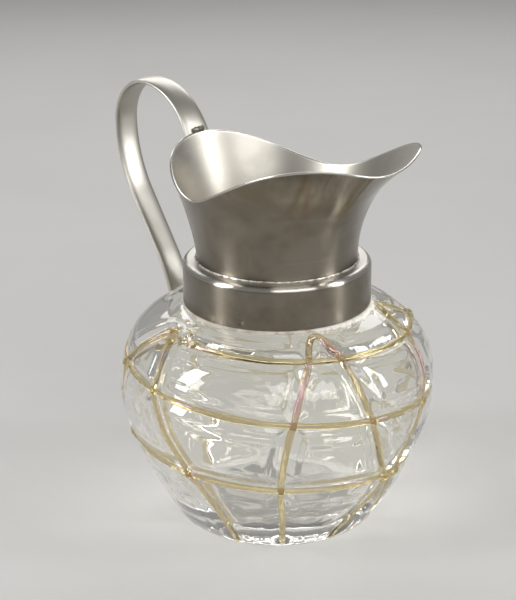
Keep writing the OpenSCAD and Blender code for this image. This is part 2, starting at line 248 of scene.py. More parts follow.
class PitcherMount(bpy.types.PropertyGroup):
    """Sizes of the plated mount"""

    collar_t: length("Collar sheet", "Sheet thickness of the collar", 1.4 * MM)
    collar_edge: length("Collar edge", "Radius of the upper edge of the collar", 3 * MM)
    spout_r: length("Spout foot radius", "Outer radius of the spout at its foot", 37.6 * MM)
    spout_t: length("Spout sheet", "Sheet thickness of the spout", 1.2 * MM)
    foot_h: length("Spout foot", "Height of the straight foot of the spout", 0.5 * MM)
    rim_back_r: length("Rim back", "Reach of the rim at the handle", 55 * MM)
    rim_side_r: length("Rim side", "Smallest reach of the rim", 46.3 * MM)
    rim_tip_r: length("Rim tip", "Reach of the pouring lip", 70.5 * MM)
    rim_back_h: length("Rim back height", "Height of the rim above the collar at the handle", 49 * MM)
    rim_side_h: length("Rim side height", "Height of the rim above the collar at its lowest", 34 * MM)
    rim_cheek_h: length("Rim cheek height", "Height of the rim above the collar at the cheeks", 58.6 * MM)
    rim_tip_h: length("Rim tip height", "Height of the rim above the collar at the tip", 53.7 * MM)
    rim_side_a: turn("Rim side angle", "Angle of the lowest point of the rim from the lip", 103)
    rim_cheek_a: turn("Rim cheek angle", "Angle of the cheeks from the lip", 28)
    waist_a: turn("Waist angle", "Angle of the smallest reach from the lip", 107)
    lip_flat: turn("Lip flat", "Angle over which the lip keeps its reach", 6)
    lip_twist: length("Lip twist", "How far the hand-worked lip is twisted", 1.6 * MM)
    flare_back: number("Flare back", "How late the wall flares out at the handle", 1.35)
    flare_lip: number("Flare lip", "How late the wall flares out under the lip", 2.2)
    ripple: length("Ripple", "Unevenness of the hand-worked sheet", 0.12 * MM)
    strap_w: length("Strap width", "Width of the handle strap", 13.5 * MM)
    strap_t: length("Strap thickness", "Thickness of the handle strap", 3 * MM)
    strap_spread: length("Strap spread", "Extra width of the strap at the rim", 1.5 * MM)
    lap_l: length("Lap", "Length of strap that lies on the back of the spout", 6 * MM)
    lap_lean: turn("Lap lean", "Angle that the strap is turned in from the spout's slope", 0.6)
    lap_gap: length("Lap gap", "Clearance between strap and spout", 0.08 * MM)
    bow_lean: turn("Bow lean", "Angle that the top of the bow leans from level", 0.05)
    bow_rise_r: length("Bow rise", "Radius of the rising side of the bow", 34 * MM)
    bow_fall_r: length("Bow fall", "Radius of the falling side of the bow", 23 * MM)
    grip_r: length("Grip radius", "Radius of the grip under the bow", 62 * MM)
    grip_turn: turn("Grip turn", "Turn of the grip", 35)
    run_l: length("Run", "Length of the straight run", 32 * MM)
    tail_r: length("Tail radius", "Radius of the tail as it nears the glass", 70 * MM)
    tail_turn: turn("Tail turn", "Turn of the tail", 19)
    tail_run: length("Tail run", "Straight stretch at the end of the tail", 14 * MM)


class PitcherColours(bpy.types.PropertyGroup):
    """Colours of the finishes"""

    glass: colour("Glass", "Clear glass", (0.98, 0.975, 0.94))
    glass_warm: colour("Warm glass", "Glass where it is faintly tinted", (0.955, 0.94, 0.875))
    amber: colour("Amber", "Glass of the threads", (0.74, 0.64, 0.39))
    # Also the tint of the painted pink highlights on the threads
    lustre: colour("Lustre", "Pink lustre on the threads", (0.84, 0.52, 0.62))
    plaster: colour("Plaster", "Clean plaster", (0.88, 0.86, 0.8))
    plaster_stain: colour("Plaster stain", "Stained plaster", (0.4, 0.35, 0.28))
    # The plate's darkness is partly tarnish and partly a painted dark reflection, as if the metal mirrored
    # dark surroundings
    plate: colour("Plate", "Worn silver plate", (0.24, 0.216, 0.178))
    # Bright plate is also the lighter tone painted as light on the spout's inside and the strap's faces
    plate_bright: colour("Bright plate", "Plate where it is rubbed bright", (0.78, 0.765, 0.72))
    tarnish: colour("Tarnish", "Tarnish on the plate", (0.17, 0.145, 0.11))
    solder: colour("Solder", "Dull solder", (0.33, 0.315, 0.29))
    floor: colour("Floor", "Pale floor", (0.46, 0.455, 0.445))


class PitcherStage(bpy.types.PropertyGroup):
    """Camera and light"""

    azimuth: turn("Azimuth", "Camera direction round the pitcher", 47)
    distance: length("Distance", "Level distance of the camera from the axis", 0.8)
    height: length("Height", "Height of the camera above the floor", 0.401103)
    pitch: turn("Pitch", "Downward tilt of the camera", 20.191606)
    yaw: turn("Yaw", "Sideways aim of the camera", 0.640567)
    roll: turn("Roll", "Roll of the camera", -0.199962)
    lens: number("Lens", "Focal length in millimetres for a sensor 36 mm wide", 126.59)
    world: number("World", "Strength of the even grey light", 0.32)


def ease(t):
    """Cosine ease from 0 to 1."""
    return (1 - np.cos(np.pi * np.clip(t, 0, 1))) / 2


def ease_out(t, power=1.35):
    """Steps that get closer towards the end."""
    return 1 - (1 - t) ** power


def mix(a, b, t):
    """Eased step from a to b."""
    return a + (b - a) * ease(t)


def wave(points, scale, seed):
    """Smooth noise between about -1 and 1 at each point."""
    shift = Vector([seed * factor for factor in SEED_SHIFT])
    return np.array([noise.noise(Vector(p) * scale + shift) for p in points])


def waver(points, layers):
    """Sum of smooth noises, each with a height, a scale and a seed."""
    return sum(height * wave(points, scale, seed) for height, scale, seed in layers)


def nearness(points, spot, reach):
    """Weight of each point, which falls from 1 at a spot to nothing over a reach."""
    return np.exp(-(np.linalg.norm(points - spot, axis=1) / reach) ** 2)


def outward(points):
    """Level directions from the axis to each point."""
    level = points * (1, 1, 0)
    return level / np.linalg.norm(level, axis=1, keepdims=True)


def run_along(points):
    """Length of the way from the first point to each point."""
    return np.concatenate([[0], np.cumsum(np.linalg.norm(np.diff(points, axis=0), axis=1))])


def rounded_ends(run, reach, least):
    """Share of the full thickness along a piece whose two ends are rounded off."""
    inward = np.clip(np.minimum(run, run[-1] - run) / reach, 0, 1)
    return np.sqrt(np.clip(1 - (1 - inward) ** 2, least, 1))


class BlownForm:
    """Radii of the blown glass by height."""

    # Step of height over which slopes are measured
    step = 0.05 * MM
    # Heights over which the relief grows above the plain foot and fades under the collar
    plain_foot = 1 * MM
    foot_fade = 6 * MM
    collar_fade = 4 * MM

    def __init__(self, glass):
        self.g = glass
        lean = math.atan(self.slope_of(self.side, glass.foot_edge))
        self.lean = lean
        self.round_z = glass.foot_edge * (1 - math.sin(lean))
        self.rest_r = float(self.side(self.round_z)) - glass.foot_edge * math.cos(lean)

    def slope_of(self, radius, z):
        """Change of a radius with height."""
        return (radius(z + self.step) - radius(z - self.step)) / (2 * self.step)

    def side(self, z):
        """Outer radius without the rounded foot."""
        g = self.g
        z = np.asarray(z, float)
        low = g.belly_r - (g.belly_r - g.foot_r) * np.clip(1 - z / g.belly_z, 0, None) ** g.belly_bend
        v = np.clip((z - g.belly_z) / (g.shoulder_z - g.belly_z), 0, 1)
        high = g.edge_r + (g.belly_r - g.edge_r) * (1 - v ** g.shoulder_bend) ** g.shoulder_full
        return np.where(z < g.belly_z, low, high)

    def outer(self, z):
        """Outer radius with the rounded foot."""
        z = np.asarray(z, float)
        e = self.g.foot_edge
        rounded = self.rest_r + np.sqrt(np.clip(e ** 2 - (e - z) ** 2, 0, None))
        return np.where(z < self.round_z, rounded, self.side(z))

    def cave(self, z):
        """Radius of the cavity."""
        g = self.g
        z = np.asarray(z, float)
        u = np.clip((g.base_t + g.cave_round - z) / g.cave_round, 0, 1)
        low = self.side(np.minimum(z, g.belly_z)) - g.wall_t - g.cave_round * (1 - np.sqrt(1 - u ** 2))
        neck_in = g.neck_r - g.neck_t
        top = g.shoulder_z - g.wall_t
        v = np.clip((z - g.belly_z) / (top - g.belly_z), 0, 1)
        high = neck_in + (g.belly_r - g.wall_t - neck_in) * (1 - v ** g.shoulder_bend) ** g.shoulder_full
        return np.where(z < g.belly_z, low, high)

    def shoulder_height(self, r):
        """Height of the shoulder at a radius."""
        g = self.g
        share = np.clip((np.asarray(r, float) - g.edge_r) / (g.belly_r - g.edge_r), 0, 1)
        rise = (1 - share ** (1 / g.shoulder_full)) ** (1 / g.shoulder_bend)
        return g.belly_z + (g.shoulder_z - g.belly_z) * rise

    def point(self, angle, z):
        """Points on the outside at angles and heights."""
        r = self.outer(z)
        return np.stack([r * np.cos(angle), r * np.sin(angle), np.asarray(z, float)], -1)

    def spot(self, degrees, per_cent):
        """One point on the outside, at an angle in degrees and a height in per cent of the shoulder's."""
        return self.point(math.radians(degrees), per_cent / 100 * self.g.shoulder_z)

    def normal(self, angle, z):
        """Outward directions at angles and heights."""
        s = self.slope_of(self.outer, np.asarray(z, float))
        n = np.stack([np.cos(angle), np.sin(angle), -s], -1)
        return n / np.linalg.norm(n, axis=-1, keepdims=True)

    def settle(self, z):
        """How far the relief is worked out at a height: none at the foot plane and under the collar."""
        z = np.asarray(z, float)
        return ease((z - self.plain_foot) / self.foot_fade) * ease((self.g.shoulder_z - z) / self.collar_fade)


def spiral_way(glass):
    """Angles and heights along the spiral thread."""
    t = np.arange(glass.spiral_begin, glass.spiral_end, SPIRAL_STEP)
    z = glass.spiral_top - glass.spiral_drop * ease(t / glass.spiral_span)
    return glass.spiral_zero + t, z + glass.spiral_rise * np.exp(-(t / glass.rise_turn) ** 2)


def smooth_curve(points, steps):
    """Smooth curve through points, with steps between neighbours."""
    c = np.concatenate([points[:1], points, points[-1:]])
    t = np.linspace(0, 1, steps, endpoint=False)[:, None]
    rows = []
    for p, q, r, s in zip(c[:-3], c[1:-2], c[2:-1], c[3:]):
        rows.append(q + 0.5 * t * ((r - p) + t * ((2 * p - 5 * q + 4 * r - s) + t * (3 * (q - r) + s - p))))
    return np.concatenate(rows + [points[-1:]])


def upright_way(glass, loop):
    """Angles and heights along a looped thread."""
    angle = np.radians([p[0] for p in loop])
    z = np.clip([p[1] / 100 * glass.shoulder_z for p in loop], glass.upright_foot_z,
                glass.shoulder_z - glass.loop_drop)
    way = smooth_curve(np.stack([angle, z], -1), LOOP_STEPS)
    return way[:, 0], way[:, 1]


def search_tree(points):
    """Search tree over points."""
    tree = kdtree.KDTree(len(points))
    for i, p in enumerate(points):
        tree.insert(p, i)
    tree.balance()
    return tree


def thread_tree(glass, form):
    """Search tree over the middle lines of all threads."""
    ways = [spiral_way(glass)] + [upright_way(glass, loop) for loop in LOOPS.values()]
    return search_tree(np.concatenate([form.point(a, z) for a, z in ways]))


def way_to(tree, points):
    """Distance from each point to the nearest point of a search tree."""
    return np.array([tree.find(p)[2] for p in points])


def cushion(g, away):
    """Height of the glass above its plain form at a distance from the nearest thread."""
    near = 1 - np.clip((away - CUSHION_BEGIN * g.thread_w) / g.cushion_reach, 0, 1)
    rise = -g.cushion_sink + (g.cushion_sink + g.cushion_rise) * (1 - near ** CUSHION_ROUND)
    return rise + g.cushion_step * ease((away - STEP_BEGIN * g.cushion_reach) / g.step_reach)


def grid_faces(rows, around, closed):
    """Faces of a grid of rows that each run once around; closed joins the last row to the first."""
    faces = []
    for k in range(rows if closed else rows - 1):
        m = (k + 1) % rows
        for i in range(around):
            n = (i + 1) % around
            faces.append((k * around + i, k * around + n, m * around + n, m * around + i))
    return faces


def sweep_faces(rings, per):
    """Faces of a tube of rings with both ends closed by a fan to the last two points."""
    faces = grid_faces(rings, per, False)
    last_ring = (rings - 1) * per
    first_tip, last_tip = rings * per, rings * per + 1
    for i in range(per):
        n = (i + 1) % per
        faces.append((n, i, first_tip))
        faces.append((last_ring + i, last_ring + n, last_tip))
    return faces


def turned(rows, around):
    """Grid of points of a profile, given as radii and heights, turned about the axis."""
    angle = np.linspace(0, FULL_TURN, around, endpoint=False)
    r, z = np.asarray(rows, float).T[:, :, None]
    return np.stack([r * np.cos(angle), r * np.sin(angle), np.broadcast_to(z, (len(z), around))], -1)


def arc(x, y, radius, start, end, steps):
    """Points of an arc between two angles in degrees."""
    a = np.radians(np.linspace(start, end, steps))
    return [(x + radius * math.cos(t), y + radius * math.sin(t)) for t in a]


def make_grain(size, seed):
    """Points and faces of one knobbly grain."""
    shape = bmesh.new()
    bmesh.ops.create_icosphere(shape, subdivisions=2, radius=1.0)
    points = np.array([v.co for v in shape.verts])
    faces = [tuple(v.index for v in f.verts) for f in shape.faces]
    shape.free()
    knobs = 1 + GRAIN_KNOB * wave(points, GRAIN_SCALE, seed)
    return points * knobs[:, None] * size * np.array(GRAIN_FORM), faces


def add_grains(verts, faces, grains):
    """Adds grains, each with its points and faces, to a mesh."""
    parts = [verts]
    count = len(verts)
    for points, sides in grains:
        parts.append(points)
        faces = faces + [tuple(count + i for i in side) for side in sides]
        count += len(points)
    return np.concatenate(parts), faces


def finish_piece(name, verts, faces, material, slot, *nodes, marks=None):
    """Makes a mesh piece that stands for CAD nodes and rides on the one body of the pitcher."""
    mesh = bpy.data.meshes.new(name)
    mesh.from_pydata([tuple(v) for v in verts], [], faces)
    for mark, values in (marks or {}).items():
        data = np.asarray(values, np.float32)
        kind = "FLOAT" if data.ndim == 1 else "FLOAT_VECTOR"
        layer = mesh.attributes.new(mark, kind, "POINT")
        layer.data.foreach_set("value" if data.ndim == 1 else "vector", data.ravel())
    mesh.shade_smooth()
    if mesh.validate():
        raise RuntimeError(f"the mesh of {name} has faults")
    mesh.materials.append(material)
    piece = bpy.data.objects.new(name, mesh)
    bpy.context.scene.collection.objects.link(piece)
    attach(piece, "root")
    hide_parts(*nodes)
    return piece


def feed(tree, socket, value):
    """Links an output to a socket, or sets the socket's own value."""
    if isinstance(value, bpy.types.NodeSocket):
        tree.links.new(value, socket)
    else:
        socket.default_value = value


def put(tree, kind, inputs=None, **settings):
    """Adds a node, sets it up and fills its inputs with values or links."""
    node = tree.nodes.new(kind)
    for key, value in settings.items():
        setattr(node, key, value)
    for key, value in (inputs or {}).items():
        feed(tree, node.inputs[key], value)
    return node


def rgba(c):
    """Colour with full alpha."""
    return (c[0], c[1], c[2], 1.0)


def blend_colours(tree, factor, a, b):
    """Output of a colour mix of a and b."""
    node = put(tree, "ShaderNodeMix", {"Factor": factor, MIX_A: a, MIX_B: b}, data_type="RGBA")
    return node.outputs[MIX_RESULT]


def scaled(tree, value, low, high):
    """Output that carries 0 to 1 over to low to high."""
    return put(tree, "ShaderNodeMapRange", {"Value": value, "To Min": low, "To Max": high}).outputs[0]


def share_between(tree, value, low, high, **settings):
    """Output that carries low to high over to 0 to 1."""
    node = put(tree, "ShaderNodeMapRange", {"Value": value, "From Min": low, "From Max": high}, **settings)
    return node.outputs[0]


def product(tree, a, b):
    """Output of a times b."""
    return put(tree, "ShaderNodeMath", {0: a, 1: b}, operation="MULTIPLY").outputs[0]


def total(tree, a, b):
    """Output of a plus b, held between 0 and 1."""
    return put(tree, "ShaderNodeMath", {0: a, 1: b}, operation="ADD", use_clamp=True).outputs[0]


def weighed(tree, first, *others):
    """Output of a sum of values, each times its share, held between 0 and 1."""
    result = product(tree, *first)
    for value, share in others:
        result = total(tree, result, product(tree, value, share))
    return result


def surface_place(tree):
    """Output of the place on the surface, in metres."""
    return put(tree, "ShaderNodeTexCoord").outputs["Object"]


def stretched(tree, vector, stretch):
    """Output of a vector times the stretch along its axes."""
    return put(tree, "ShaderNodeVectorMath", {0: vector, 1: stretch}, operation="MULTIPLY").outputs[0]


def marked(tree, name, output="Fac"):
    """Output of a value that the mesh stores under a name."""
    return put(tree, "ShaderNodeAttribute", attribute_name=name).outputs[output]


def noise_height(tree, place, scale, detail):
    """Output of plain noise."""
    return put(tree, "ShaderNodeTexNoise", {"Vector": place, "Scale": scale, "Detail": detail}).outputs["Fac"]


def dress(tree, shader, colour_output, rough_output):
    """Links the colour and the roughness of a finish."""
    tree.links.new(colour_output, shader.inputs["Base Color"])
    tree.links.new(rough_output, shader.inputs["Roughness"])


def raise_surface(tree, shader, height, strength, distance):
    """Bumps the surface by a height."""
    bump = put(tree, "ShaderNodeBump", {"Height": height, "Strength": strength, "Distance": distance})
    tree.links.new(bump.outputs[0], shader.inputs["Normal"])


def new_group(name, inputs, outputs):
    """Empty shader node group with float or vector sockets."""
    group = bpy.data.node_groups.new(name, "ShaderNodeTree")
    for socket, kind, value in inputs:
        made = group.interface.new_socket(socket, in_out="INPUT", socket_type=kind)
        if value is not None:
            made.default_value = value
    for socket in outputs:
        group.interface.new_socket(socket, in_out="OUTPUT", socket_type="NodeSocketFloat")
    return group, group.nodes.new("NodeGroupInput"), group.nodes.new("NodeGroupOutput")


def rubbed_grain():
    """Group: fine rubbed lines and a few deeper scratches along the long side of the given coordinates."""
    group, given, out = new_group(
        "rubbed_grain",
        (("Vector", "NodeSocketVector", None), ("Fineness", "NodeSocketFloat", 1.0)),
        ("Lines", "Scratches"))
    along = given.outputs["Vector"]
    fineness = given.outputs["Fineness"]
    lines = put(group, "ShaderNodeTexNoise", {
        "Vector": along, "Scale": fineness, "Detail": 5.0, "Roughness": 0.65})
    marks = put(group, "ShaderNodeTexNoise", {
        "Vector": along, "Scale": product(group, fineness, SCRATCH_SCALE), "Detail": 2.0, "Distortion": 0.6})
    group.links.new(lines.outputs["Fac"], out.inputs["Lines"])
    scratches = share_between(group, marks.outputs["Fac"], low=0.66, high=0.74)
    group.links.new(scratches, out.inputs["Scratches"])
    return group


def cloudy_stain():
    """Group: soft cloudy patches, and small specks."""
    group, given, out = new_group(
        "cloudy_stain",
        (("Vector", "NodeSocketVector", None), ("Size", "NodeSocketFloat", 30.0),
         ("Cover", "NodeSocketFloat", 0.5)),
        ("Clouds", "Specks"))
    place = given.outputs["Vector"]
    size = given.outputs["Size"]
    cloud = put(group, "ShaderNodeTexNoise", {
        "Vector": place, "Scale": size, "Detail": 6.0, "Roughness": 0.6, "Distortion": 0.4})
    start = put(group, "ShaderNodeMath", {0: CLOUD_START, 1: given.outputs["Cover"]}, operation="SUBTRACT")
    full = put(group, "ShaderNodeMath", {0: start.outputs[0], 1: CLOUD_EDGE}, operation="ADD")
    clouds = share_between(group, cloud.outputs["Fac"], start.outputs[0], full.outputs[0],
                           interpolation_type="SMOOTHSTEP")
    speck = put(group, "ShaderNodeTexVoronoi", {"Vector": place, "Scale": product(group, size, SPECK_SCALE)})
    specks = share_between(group, speck.outputs["Distance"], low=0.16, high=0.06)
    group.links.new(clouds, out.inputs["Clouds"])
    group.links.new(specks, out.inputs["Specks"])
    return group


def group_outputs(tree, name, make, inputs):
    """Outputs of a shared group placed in a material; the group is made at its first use."""
    group = bpy.data.node_groups.get(name) or make()
    return put(tree, "ShaderNodeGroup", inputs, node_tree=group).outputs


def stains(tree, place, size, cover):
    """Outputs of the cloudy stains of a size and cover."""
    return group_outputs(tree, "cloudy_stain", cloudy_stain, {"Vector": place, "Size": size, "Cover": cover})


def new_material(name, **constants):
    """Material with one Principled shader; the constants go on its sockets."""
    material = bpy.data.materials.new(name)
    material.use_nodes = True
    tree = material.node_tree
    shader = tree.nodes["Principled BSDF"]
    for key, value in constants.items():
        shader.inputs[key.replace("_", " ")].default_value = value
    return material, tree, shader


def plate_finish(name, colours, coordinates, roughness, **constants):
    """Worn plated metal, rubbed along the given coordinates, bright on edges and tarnished in recesses."""
    material, tree, shader = new_material(name, Metallic=1.0, **constants)
    place = surface_place(tree)
    along = coordinates(tree, place)
    grain = group_outputs(tree, "rubbed_grain", rubbed_grain, {"Vector": along, "Fineness": 1.0})
    stain = stains(tree, place, size=55.0, cover=0.46)
    dull = weighed(tree, (stain["Clouds"], CLOUDS_DULL), (marked(tree, "recess"), RECESS_DULLS),
                   (stain["Specks"], SPECKS_DULL))
    # Brightening from rubbed edges and scratches, and from painted light on the spout's inside and the
    # strap's faces
    rubbed = weighed(tree, (marked(tree, "wear_and_painted_light"), WEAR_AND_LIGHT_BRIGHTEN),
                     (grain["Scratches"], SCRATCH_BRIGHTENS))
    worn = blend_colours(tree, dull, rgba(colours.plate), rgba(colours.tarnish))
    rough = scaled(tree, marked(tree, "polish"), roughness, POLISHED)
    rough = total(tree, rough, weighed(tree, (grain["Lines"], LINES_ROUGHEN), (dull, DULL_ROUGHENS)))
    dress(tree, shader, blend_colours(tree, rubbed, worn, rgba(colours.plate_bright)), rough)
    height = weighed(tree, (grain["Lines"], LINES_RAISE), (stain["Specks"], SPECKS_RAISE))
    raise_surface(tree, shader, height, strength=0.06, distance=0.1 * MM)
    return material


def level_coordinates(tree, place):
    """Coordinates whose noise runs in level lines round the axis."""
    return stretched(tree, place, LEVEL_STRETCH)


def strap_coordinates(tree, _place):
    """Coordinates whose noise runs along the strap."""
    return stretched(tree, marked(tree, "strap_way", "Vector"), STRAP_STRETCH)


def mount_finish(colours):
    """The level rubbed plate that the outsides of collar and spout share."""
    name = "plate_level"
    made = bpy.data.materials.get(name)
    if made:
        return made
    made = plate_finish(name, colours, level_coordinates, RUBBED, Anisotropic=0.95, Anisotropic_Rotation=0.25)
    tree = made.node_tree
    around = put(tree, "ShaderNodeTangent", direction_type="RADIAL", axis="Z")
    tree.links.new(around.outputs[0], tree.nodes["Principled BSDF"].inputs["Tangent"])
    return made


def satin_finish(colours):
    """The softer plate of the spout's inside and the collar's shelf."""
    name = "plate_satin"
    return bpy.data.materials.get(name) or plate_finish(name, colours, level_coordinates, SATIN)


def finish_rows(piece, material, rows, around):
    """Gives the faces that start at the marked rows of a grid a second material."""
    piece.data.materials.append(material)
    piece.data.polygons.foreach_set("material_index", np.repeat(rows, around).astype(np.int32))


def let_light_through(material, tree, shader, share):
    """Lets part of the lamps' light, and light that has bounced often, pass straight through the glass."""
    path = put(tree, "ShaderNodeLightPath")
    depth = path.outputs["Ray Depth"]
    spent = put(tree, "ShaderNodeMath", {0: depth, 1: MOST_BOUNCES}, operation="GREATER_THAN")
    factor = total(tree, product(tree, path.outputs["Is Shadow Ray"], share), spent.outputs[0])
    clear = put(tree, "ShaderNodeBsdfTransparent")
    choice = put(tree, "ShaderNodeMixShader", {"Fac": factor})
    tree.links.new(shader.outputs[0], choice.inputs[1])
    tree.links.new(clear.outputs[0], choice.inputs[2])
    tree.links.new(choice.outputs[0], tree.nodes["Material Output"].inputs["Surface"])
    return material


def clear_glass_finish(colours):
    """Blown clear glass with a faint warm tint, water marks and soft ripples."""
    material, tree, shader = new_material(
        "clear_glass_finish", Metallic=0.0, Transmission_Weight=1.0, IOR=1.5)
    place = surface_place(tree)
    clouds = stains(tree, place, size=26.0, cover=0.4)["Clouds"]
    tint = blend_colours(tree, clouds, rgba(colours.glass), rgba(colours.glass_warm))
    dress(tree, shader, tint, scaled(tree, clouds, low=0.0, high=0.035))
    ripples = noise_height(tree, place, scale=55.0, detail=1.5)
    raise_surface(tree, shader, ripples, strength=0.25, distance=0.5 * MM)
    return let_light_through(material, tree, shader, share=0.85)


def amber_glass_finish(colours):
    """Amber glass threads with a pink lustre."""
    material, tree, shader = new_material(
        "amber_glass_finish", Metallic=0.0, Transmission_Weight=1.0, IOR=1.52, Thin_Film_Thickness=320.0,
        Thin_Film_IOR=1.4)
    place = surface_place(tree)
    clouds = stains(tree, place, size=22.0, cover=0.3)["Clouds"]
    # Pink from the lustre clouds and from the painted pink highlights
    pink = total(tree, product(tree, clouds, CLOUDS_TINT), marked(tree, "painted_pink_highlight"))
    tint = blend_colours(tree, pink, rgba(colours.amber), rgba(colours.lustre))
    dress(tree, shader, tint, scaled(tree, clouds, low=0.0, high=0.08))
    ripples = noise_height(tree, place, scale=320.0, detail=2.0)
    raise_surface(tree, shader, ripples, strength=0.2, distance=0.3 * MM)
    return let_light_through(material, tree, shader, share=0.6)


def plaster_finish(colours):
    """Matt crumbling plaster."""
    material, tree, shader = new_material("plaster_finish")
    place = surface_place(tree)
    stain = stains(tree, place, size=140.0, cover=0.42)
    stained = total(tree, product(tree, stain["Clouds"], CLOUDS_TINT), marked(tree, "grime"))
    base = blend_colours(tree, stained, rgba(colours.plaster), rgba(colours.plaster_stain))
    dress(tree, shader, base, scaled(tree, stain["Specks"], low=0.95, high=0.75))
    grit = noise_height(tree, place, scale=1600.0, detail=4.0)
    raise_surface(tree, shader, grit, strength=0.7, distance=0.3 * MM)
    return material


def solder_finish(name, clean, stained):
    """Pitted solder."""
    material, tree, shader = new_material(name, Metallic=1.0)
    stain = stains(tree, surface_place(tree), size=420.0, cover=0.5)
    base = blend_colours(tree, stain["Clouds"], rgba(clean), rgba(stained))
    dress(tree, shader, base, scaled(tree, stain["Clouds"], low=0.35, high=0.65))
    raise_surface(tree, shader, stain["Specks"], strength=0.8, distance=-0.2 * MM)
    return material


def floor_finish(colours):
    """Pale matt floor with a trace of mottling."""
    material, tree, shader = new_material("floor_finish", Roughness=0.7)
    clouds = stains(tree, surface_place(tree), size=6.0, cover=0.45)["Clouds"]
    darker = rgba([FLOOR_MOTTLE * c for c in colours.floor])
    base = blend_colours(tree, clouds, rgba(colours.floor), darker)
    tree.links.new(base, shader.inputs["Base Color"])
    return material


class PITCHER_OT_glass_body(bpy.types.Operator):
    """Blow the glass body: foot, cushioned belly, shoulder and hidden neck"""

    bl_idname = "pitcher.glass_body"
    bl_label = "Glass body"

    around = 360
    # Rows of points on the rounded foot, the side, the neck's rounded top, the neck's inside and the cavity
    edge_rows = 14
    side_rows = 126
    lip_rows = 5
    neck_rows = 8
    cave_rows = 80
    # Shares of the radius at which the underside and the floor of the cavity have rows
    foot_shares = (0.35, 0.7, 0.95)
    floor_shares = (0.9, 0.7, 0.4, 0.15)
    # Heights above the shoulder between which the neck draws in
    neck_begin = 0.4 * MM
    neck_full = 1.3 * MM
    # Angle in degrees at which the outer rounding of the neck's top begins
    lip_begin = 15
    # Distances that the rows inside the neck keep from its top and from the cavity
    neck_top_gap = 3 * MM
    neck_low_gap = 2 * MM
    # Heights above the foot and above the cavity's floor at which the relief begins
    relief_begin = 0.5 * MM
    cave_begin = 1 * MM
    # Share of the cushions that the inside follows, and share of that by which it lies further in
    follow = 0.7
    further_in = 0.6
    # Waver of the inside, and the folds low in it: height, scale and seed of each noise
    waver_layers = ((0.35 * MM, 45.0, 1), (0.12 * MM, 130.0, 2))
    fold_layers = ((0.45 * MM, 170.0, 15),)
    # Stretch of the folds, height up to which they are full, and height over which they fade
    fold_stretch = (0.6, 0.6, 1.6)
    fold_full = 12 * MM
    fold_fade = 45 * MM

    def execute(self, context):
        g = context.scene.pitcher_glass
        form = BlownForm(g)
        tree = thread_tree(g, form)
        outer = self.relief(g, form, tree, self.outer_rows(g, form))
        inner = self.soft_relief(g, form, tree, self.inner_rows(g, form))
        grid = np.concatenate([outer, inner])
        verts = np.concatenate([grid.reshape(-1, 3), [(0, 0, 0), (0, 0, g.base_t)]])
        faces = sweep_faces(len(grid), self.around)
        finish_piece("blown_glass", verts, faces, clear_glass_finish(context.scene.pitcher_colours),
                     "clear_glass", "glass_body")
        return {"FINISHED"}

    def outer_rows(self, g, form):
        """Profile from the foot to the rounded top of the neck."""
        foot = [(form.rest_r * share, 0.0) for share in self.foot_shares]
        edge = arc(form.rest_r, g.foot_edge, g.foot_edge, -90, -math.degrees(form.lean), self.edge_rows)
        steps = ease_out(np.linspace(0, 1, self.side_rows)[1:])
        heights = form.round_z + (g.shoulder_z - form.round_z) * steps
        side = [(float(form.side(z)), z) for z in heights]
        b = g.neck_round
        neck = [(g.neck_r + b, g.shoulder_z + self.neck_begin), (g.neck_r, g.shoulder_z + self.neck_full),
                (g.neck_r, NECK_TOP - b)]
        lip = arc(g.neck_r - b, NECK_TOP - b, b, self.lip_begin, 90, self.lip_rows)
        return foot + edge + side + neck + lip

    def inner_rows(self, g, form):
        """Profile from the rounded top of the neck down to the floor of the cavity."""
        b = g.neck_round
        neck_in = g.neck_r - g.neck_t
        lip = arc(neck_in + b, NECK_TOP - b, b, 90, 180, self.lip_rows)
        cave_top = g.shoulder_z - g.wall_t
        levels = np.linspace(NECK_TOP - self.neck_top_gap, cave_top + self.neck_low_gap, self.neck_rows)
        neck = [(neck_in, z) for z in levels]
        heights = cave_top - (cave_top - g.base_t) * ease_out(np.linspace(0, 1, self.cave_rows))
        cave = [(float(form.cave(z)), z) for z in heights]
        floor = [(cave[-1][0] * share, g.base_t) for share in self.floor_shares]
        return lip + neck + cave + floor

    def relief(self, g, form, tree, rows):
        """Turns the outer profile and raises cushions between the threads."""
        grid = turned(rows, self.around)
        flat = grid.reshape(-1, 3)
        z = flat[:, 2]
        side = (z > self.relief_begin) & (z < g.shoulder_z)
        spots = flat[side]
        angle = np.arctan2(spots[:, 1], spots[:, 0])
        rise = cushion(g, way_to(tree, spots)) * form.settle(spots[:, 2])
        flat[side] = spots + form.normal(angle, spots[:, 2]) * rise[:, None]
        return grid

    def soft_relief(self, g, form, tree, rows):
        """Turns the inner profile, which follows the cushions softly and wavers a little."""
        grid = turned(rows, self.around)
        flat = grid.reshape(-1, 3)
        z = flat[:, 2]
        side = (z > g.base_t + self.cave_begin) & (z < g.shoulder_z - g.wall_t)
        spots = flat[side]
        near = np.sqrt(np.clip(way_to(tree, spots) ** 2 - g.wall_t ** 2, 0, None))
        depth = self.follow * (g.cushion_sink + g.cushion_rise)
        swell = depth * (ease(near / (2 * g.cushion_reach)) - self.further_in)
        swell = swell + waver(spots, self.waver_layers)
        low = 1 - ease((spots[:, 2] - self.fold_full) / self.fold_fade)
        swell = swell + low * waver(spots * self.fold_stretch, self.fold_layers)
        flat[side] = spots + outward(spots) * (swell * form.settle(spots[:, 2]))[:, None]
        return grid


